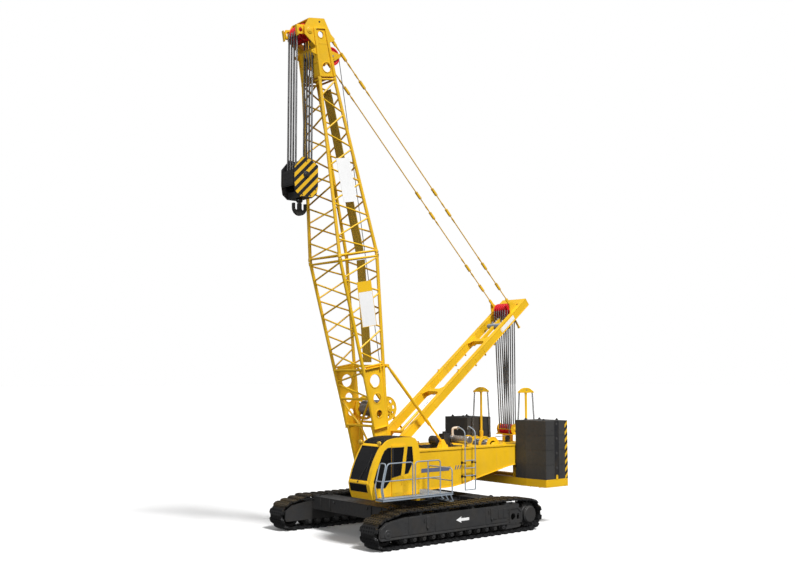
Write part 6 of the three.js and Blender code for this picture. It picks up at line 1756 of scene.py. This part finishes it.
def mast_trim():
    trim = Piece("mast_trim", "mast", YELLOW, MAST)
    inner, outer, depth = LEG
    for _, side in SIDES:
        for y in ((outer - 0.002, outer + 0.010), (inner - 0.010, inner + 0.002)):
            for c in (-depth, depth - 0.022):
                trim.box((c, c + 0.022), span(side, *y), (0.62, MAST_LENGTH - 0.01))
        for t in (1.30, 4.90, 6.20, 7.60):
            trim.box((-depth - 0.004, depth + 0.004), span(side, inner - 0.006, outer + 0.006),
                     (t - 0.012, t + 0.012))
        for t in (2.74, 5.70):
            trim.prism("y", [(-0.11, t - 0.15), (0.07, t - 0.15), (0.07, t + 0.15), (-0.11, t + 0.15)],
                       span(side, outer - 0.001, outer + 0.007))
        for t in (5.48, 6.19, 6.90):
            trim.prism("y", [(-depth + 0.01, t - 0.20), (-depth + 0.01, t + 0.20), (-depth - 0.03, t + 0.12),
                             (-depth - 0.07, t + 0.045),
                             (-depth - 0.07, t - 0.005), (-depth - 0.035, t - 0.05)], span(side, 0.60, 0.625))
            trim.lathe((-depth - 0.095, side * 0.585, t + 0.02), (0, side, 0),
                       [(0, 0.0), (0, 0.032), (0.055, 0.032), (0.055, 0.0)], 16)
            trim.box((-depth - 0.10, -depth - 0.05), span(side, 0.60, 0.625), (t + 0.005, t + 0.035))
        trim.prism("y", hull([(depth - 0.01, 4.50), (depth - 0.01, 4.66)] + circle(depth + 0.075, 4.58, 0.030, 14)),
                   span(side, 0.60, 0.62), [circle(depth + 0.075, 4.58, 0.015, 12)])
        trim.lathe((depth + 0.075, side * 0.61, 4.58), (0, 1, 0), [(-0.05, 0.014), (0.05, 0.014)], 12)
        for t in (3.46, 6.83):
            for c in (-0.10, 0.10):
                trim.prism("x", [(side * 0.26, t - 0.09), (side * 0.26, t + 0.09), (side * 0.525, t + 0.30),
                                 (side * 0.525, t - 0.30)],
                           (c - 0.008, c + 0.008))
        trim.lathe((0, side * 0.68, 0), (0, side, 0),
                   [(-0.001, 0.058), (-0.001, 0.105), (0.006, 0.105), (0.006, 0.058)], 32, ring=True)
    for y in (-0.40, -0.20, 0.0, 0.20, 0.40):
        trim.prism("y", [(-0.15, 9.10), (0.168, 9.10), (0.20, 9.30), (0.12, MAST_LENGTH - 0.14),
                         (-0.15, MAST_LENGTH - 0.14)],
                   (y - 0.012, y + 0.012))
    trim.box((0.150, 0.176), (-0.52, 0.52), (9.30, MAST_LENGTH - 0.02))
    trim.box((-0.176, -0.150), (-0.52, 0.52), (9.02, MAST_LENGTH - 0.02))
    for y in (0.30, -0.30):
        a, b = Vector((-0.16, y, 8.86)), Vector((-0.80, y, 8.86))
        trim.sweep([a, a.lerp(b, 0.5), b], 0.045, 16)
        trim.lathe(b, (-1, 0, 0), [(-0.03, 0.05), (-0.03, 0.062), (0.012, 0.062), (0.012, 0.0)], 16)
    trim.done(0.003)

    plate = Piece("mast_name_plate", "mast", WHITE, MAST)
    plate.box((-0.10, 0.085), (LEG[1] + 0.0005, LEG[1] + 0.005), (7.55, 8.55))
    plate.done()

    wheels = Piece("upper_luffing_sheaves", "mast", RED, MAST)
    c, t, radius = LUFF_AXLE
    for i in range(6):
        rope_wheel(wheels, (c, (i - 2.5) * LUFF_PITCH, t), radius, 0.056, spokes=5)
    wheels.done(replaces=["mast_sheaves"])
    axle = Piece("upper_luffing_axle", "mast", STEEL, MAST)
    axle.tube((c, -0.5195, t), (c, 0.5195, t), 0.06, 24)
    axle.done()

    yoke = Piece("mast_equaliser", "mast", RAIL, MAST)
    yoke.prism("y", [(-0.16, 7.88), (0.02, 7.80), (0.10, 7.86), (0.10, 7.96), (-0.02, 8.04), (-0.16, 8.02)],
               (-0.36, 0.36))
    for y in (-0.30, 0.0, 0.30):
        yoke.tube((-0.05, y, 7.95), (0.02, y, 8.22), 0.026, 12)
    yoke.done(0.008)

    ram = Piece("mast_cylinder", "mast", YELLOW, MAST)
    low, high = Vector((-0.04, 0.0, 1.02)), Vector((-0.04, 0.0, 3.40))
    ram.lathe(low, high - low, [(0, 0.0), (0, 0.05), (0.02, 0.058), (1.18, 0.058), (1.20, 0.05), (1.20, 0.0)], 28)
    ram.box((-0.10, 0.02), (-0.525, 0.525), (0.97, 1.05))
    ram.done(0.003)
    rod = Piece("mast_cylinder_rod", "mast", STEEL, MAST)
    rod.tube((-0.04, 0, 2.18), (-0.04, 0, 3.37), 0.028, 20)
    rod.done()


def pendant_trim():
    """Pins and cheek plates at the pendants' connectors."""
    start = BOOM @ Vector((-0.50, 0, 17.25))
    end = MAST @ Vector((0.469, 0, 8.86))
    pins = Piece("pendant_pins", "pendants", STEEL, Matrix())
    cheeks = Piece("pendant_cheeks", "pendants", YELLOW, Matrix())
    along = (end - start).normalized()
    length = (end - start).length
    for _, side in SIDES:
        y = side * 0.505
        for share in (0.06, 0.155, 0.545, 0.625, 0.84, 0.925):
            for offset in (-0.011, 0.011):
                p = start + along * length * (share + offset) + Vector((0, y, 0))
                pins.tube(p - Vector((0, 0.052, 0)), p + Vector((0, 0.052, 0)), 0.018, 14)
        for share in (0.06, 0.155, 0.625, 0.84):
            for offset in (-0.03, 0.03):
                p = start + along * length * (share + offset) + Vector((0, y, 0))
                a, b = p - along * 0.10, p + along * 0.10
                cheeks.tube(a, b, 0.036, 14, 0.030)
    pins.done()
    cheeks.done()


def luffing_ropes():
    """Twelve parts of rope between the mast's sheaves and the tail's, and the lead to the winch."""
    c, t, radius = LUFF_AXLE
    top = DECK.inverted() @ MAST @ Vector((c, 0, t))
    low = Vector((TAIL_AXLE[0], 0, TAIL_AXLE[1]))
    ropes = Piece("luffing_ropes", None, ROPE)
    for i in range(6):
        y = (i - 2.5) * LUFF_PITCH
        for way, shift in ((-1, -0.012), (1, 0.012)):
            a = Vector((low.x + way * 0.182, y + shift, low.z))
            b = Vector((top.x + way * (radius - 0.016), y + shift, top.z))
            ropes.tube(a, b, 0.028, 8)
    lead = Vector((-5.65 - 0.118, 0.30, 3.36))
    ropes.tube(lead, Vector((top.x + radius - 0.03, 0.47, top.z)), 0.018, 8)
    a, b = DECK @ low, DECK @ top
    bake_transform(ropes.done())
    run = Piece("boom_hoist_lead_rope", "upper", ROPE)
    run.tube((WINCH[0] - 0.02, 0.10, WINCH[1] + 0.255), (-5.65, 0.30, 3.36 + 0.115), 0.018, 8)
    run.done()


mast_trim()
pendant_trim()
luffing_ropes()


# ------------------------------------------------------------------ hook block
BLOCK_AXLE = 13.52
BLOCK_HALF = 0.53


def hook_block():
    fall = Piece("hoist_falls_ropes", "hook_block", ROPE, HOOK)
    top = JOINTS["hook_block_swing"]["pos_m"][2]
    for i in range(4):
        y = (i - 1.5) * FALL_PITCH
        for way in (-1, 1):
            x = way * 0.3543
            fall.tube((x, y, BLOCK_AXLE), (x, y, top), 0.036, 12)
    fall.done(replaces=["hoist_falls"])

    wheels = Piece("hook_block_sheaves", "hook_block", DARK, HOOK)
    for i in range(4):
        rope_wheel(wheels, (0, (i - 1.5) * FALL_PITCH, BLOCK_AXLE), 0.362, 0.06, spokes=0)
    wheels.tube((0, -0.3997, BLOCK_AXLE), (0, 0.3997, BLOCK_AXLE), 0.08, 24)
    wheels.done()

    skin = Piece("hook_block_stripes", "hook_block", STRIPES, HOOK)
    outline = ((-0.255, 12.665), (0.255, 12.665), (0.465, 12.833), (0.525, 13.18), (0.525, 13.757), (0.178, 14.174),
               (-0.178, 14.115), (-0.525, 13.926), (-0.525, 13.08), (-0.465, 12.833))
    for _, side in SIDES:
        skin.prism("y", outline, span(side, 0.4495, 0.456), [circle(0, BLOCK_AXLE, 0.14, 32)])
    skin.done(0.002)

    trim = Piece("hook_block_trim", "hook_block", DARK, HOOK)
    for _, side in SIDES:
        trim.lathe((0, side * 0.45, BLOCK_AXLE), (0, side, 0),
                   [(-0.001, 0.0), (-0.001, 0.135), (0.018, 0.135), (0.026, 0.12), (0.026, 0.07),
                                                               (0.045, 0.06), (0.045, 0.0)], 32)
        trim.bolts([(0.10 * math.cos(a), side * 0.472,
                     BLOCK_AXLE + 0.10 * math.sin(a)) for a in (math.radians(k) for k in range(0, 360, 60))],
                   (0, side, 0), 0.011, 0.012)
        for x, z in ((-0.18, 12.76), (0.18, 12.76), (-0.41, 13.0), (0.41, 13.0), (-0.44, 13.82), (0.42, 13.80),
                     (0.0, 14.03)):
            trim.lathe((x, side * 0.455, z), (0, side, 0),
                       [(-0.002, 0.03), (0.008, 0.03), (0.008, 0.018), (0.022, 0.018), (0.022, 0.0)], 6)
        trim.prism("y", [(-0.24, 12.661), (0.24, 12.661), (0.24, 12.70), (-0.24, 12.70)], span(side, 0.446, 0.468))
    for way in (-1, 1):
        a, b = sorted((way * (BLOCK_HALF - 0.02), way * BLOCK_HALF))
        trim.box((a, b), (-0.36, 0.36), (13.12, 13.64))
        for z in (13.20, 13.38, 13.56):
            trim.box((a - 0.004 if way < 0 else a, b + 0.004 if way > 0 else b), (-0.34, 0.34),
                     (z - 0.012, z + 0.012))
    for x, z in ((-0.20, 14.05), (0.20, 14.08)):
        trim.tube((x, -0.3995, z - 0.06), (x, 0.3995, z - 0.06), 0.025, 14)
    trim.done(0.003)

    collar = Piece("hook_collar", "hook", DARK, HOOK)
    collar.lathe((0, 0, 0), (0, 0, 1), [(12.52, 0.072), (12.535, 0.105), (12.56, 0.118), (12.64, 0.118),
                                        (12.655, 0.105), (12.655, 0.072)],
                 40, ring=True)
    for k in range(12):
        a = math.pi * k / 6
        collar.lathe((0.114 * math.cos(a), 0.114 * math.sin(a), 12.60), (math.cos(a), math.sin(a), 0),
                     [(-0.01, 0.012), (0.008, 0.012), (0.008, 0.0)], 8)
    collar.done()


hook_block()


# ------------------------------------------------------------------ CAD nodes that stay
def finish_node(name, material, bevel=0.0):
    piece = frame["nodes"][name]
    for slot in piece.material_slots:
        slot.material = material
    if not piece.material_slots:
        piece.data.materials.append(material)
    piece.data.shade_smooth()
    piece.data.set_sharp_from_angle(angle=math.radians(30))
    if bevel:
        add_bevel(piece, bevel)


KEPT = {
    "carbody": (BLACK, 0.010), "slew_ring": (BLACK, 0.006), "track_frame_left": (BLACK, 0.008),
    "track_frame_right": (BLACK, 0.008),
    "engine": (DARK, 0.008), "revolving_frame": (YELLOW, 0.008), "side_housing_left": (YELLOW, 0.015),
    "side_housing_right": (YELLOW, 0.015), "counterweight_tray": (YELLOW, 0.010), "cab_body": (YELLOW, 0.008),
    "cab_roof": (YELLOW, 0.012), "cab_door": (YELLOW, 0.006), "boom_head": (YELLOW, 0.006),
    "mast_frame": (YELLOW, 0.006),
    "hook_block": (DARK, 0.008), "hook": (BLACK, 0.010),
}
for name, piece in frame["nodes"].items():
    if piece.hide_render:
        continue
    if name in KEPT:
        finish_node(name, *KEPT[name])
    elif name.startswith("pendant"):
        finish_node(name, YELLOW, 0.004)
    elif name.startswith("counterweight"):
        finish_node(name, GREY, 0.012)
    elif name.startswith(("notice", "sign")):
        finish_node(name, WHITE, 0.002)
    elif "glass" in name or "pane" in name or "window" in name or "windscreen" in name:
        finish_node(name, GLASS, 0.0)
    else:
        print("plain node:", name)
        finish_node(name, YELLOW, 0.004)


# ------------------------------------------------------------------ floor, light and camera
def floor():
    """A pale floor that takes shadows, and throws no light back up at the crane."""
    mesh = bpy.data.meshes.new("floor")
    mesh.from_pydata([(-400, -400, -0.002), (400, -400, -0.002), (400, 400, -0.002), (-400, 400, -0.002)], [],
                     [(0, 1, 2, 3)])
    piece = bpy.data.objects.new("floor", mesh)
    bpy.context.scene.collection.objects.link(piece)
    material, surface = shader("pale_floor", (0.93, 0.93, 0.93), 0.9)
    surface.inputs["Specular IOR Level"].default_value = 0.0
    wire(material, blend_colors(material, spread(material, noise(material, 0.25, 5), 0.0, 1.0), (0.92, 0.92, 0.92),
                                (0.94, 0.94, 0.94)),
         surface.inputs["Base Color"])
    mesh.materials.append(material)
    piece.visible_diffuse = False
    piece.visible_glossy = False


def studio():
    """A white backdrop, a soft sky that is darker below, a key from above on the left and a fill in front."""
    world = bpy.data.worlds.new("studio")
    world.use_nodes = True
    nodes, links = world.node_tree.nodes, world.node_tree.links
    sky = nodes["Background"]
    place = nodes.new("ShaderNodeTexCoord")
    parts = nodes.new("ShaderNodeSeparateXYZ")
    height = nodes.new("ShaderNodeMapRange")
    links.new(place.outputs["Generated"], parts.inputs["Vector"])
    links.new(parts.outputs["Z"], height.inputs["Value"])
    for socket, value in (("From Min", -0.4), ("From Max", 0.4), ("To Min", 0.05), ("To Max", 0.30)):
        height.inputs[socket].default_value = value
    links.new(height.outputs["Result"], sky.inputs["Strength"])
    sky.inputs["Color"].default_value = (1, 1, 1, 1)
    backdrop = nodes.new("ShaderNodeBackground")
    backdrop.inputs["Color"].default_value = (1, 1, 1, 1)
    rays = nodes.new("ShaderNodeLightPath")
    mix = nodes.new("ShaderNodeMixShader")
    links.new(rays.outputs["Is Camera Ray"], mix.inputs["Fac"])
    links.new(sky.outputs["Background"], mix.inputs[1])
    links.new(backdrop.outputs["Background"], mix.inputs[2])
    links.new(mix.outputs["Shader"], nodes["World Output"].inputs["Surface"])
    bpy.context.scene.world = world
    for name, energy, size, place in (("key", 3.7, 14, (0.0, 0.58, 0.81)), ("fill", 1.1, 40, (0.9, 0.35, 0.2))):
        light = bpy.data.lights.new(name, "SUN")
        light.energy = energy
        light.angle = math.radians(size)
        lamp = bpy.data.objects.new(name, light)
        lamp.rotation_euler = Vector(place).to_track_quat("Z", "Y").to_euler()
        bpy.context.scene.collection.objects.link(lamp)
    view = bpy.context.scene.view_settings
    view.view_transform = "Standard"
    view.look = "None"
    view.exposure = 0.0
    view.gamma = 1.0


def camera():
    lens = bpy.data.cameras.new("camera")
    lens.sensor_width = 36.0
    lens.lens = 44.34
    lens.clip_end = 1000.0
    eye = bpy.data.objects.new("camera", lens)
    away, across, height = 25.275, 30.312, 6.155
    heading = math.atan2(-across, -away) + math.radians(0.310)
    rise = 0.089
    look = Vector((math.cos(heading) * math.cos(rise), math.sin(heading) * math.cos(rise), math.sin(rise)))
    right = Vector((math.sin(heading), -math.cos(heading), 0.0))
    up = right.cross(look)
    turn = Matrix((right, up, -look)).transposed().to_4x4()
    eye.matrix_world = Matrix.Translation(DECK @ Vector((away, across, height))) @ turn
    bpy.context.scene.collection.objects.link(eye)
    bpy.context.scene.camera = eye


floor()
studio()
camera()

bpy.context.view_layer.update()
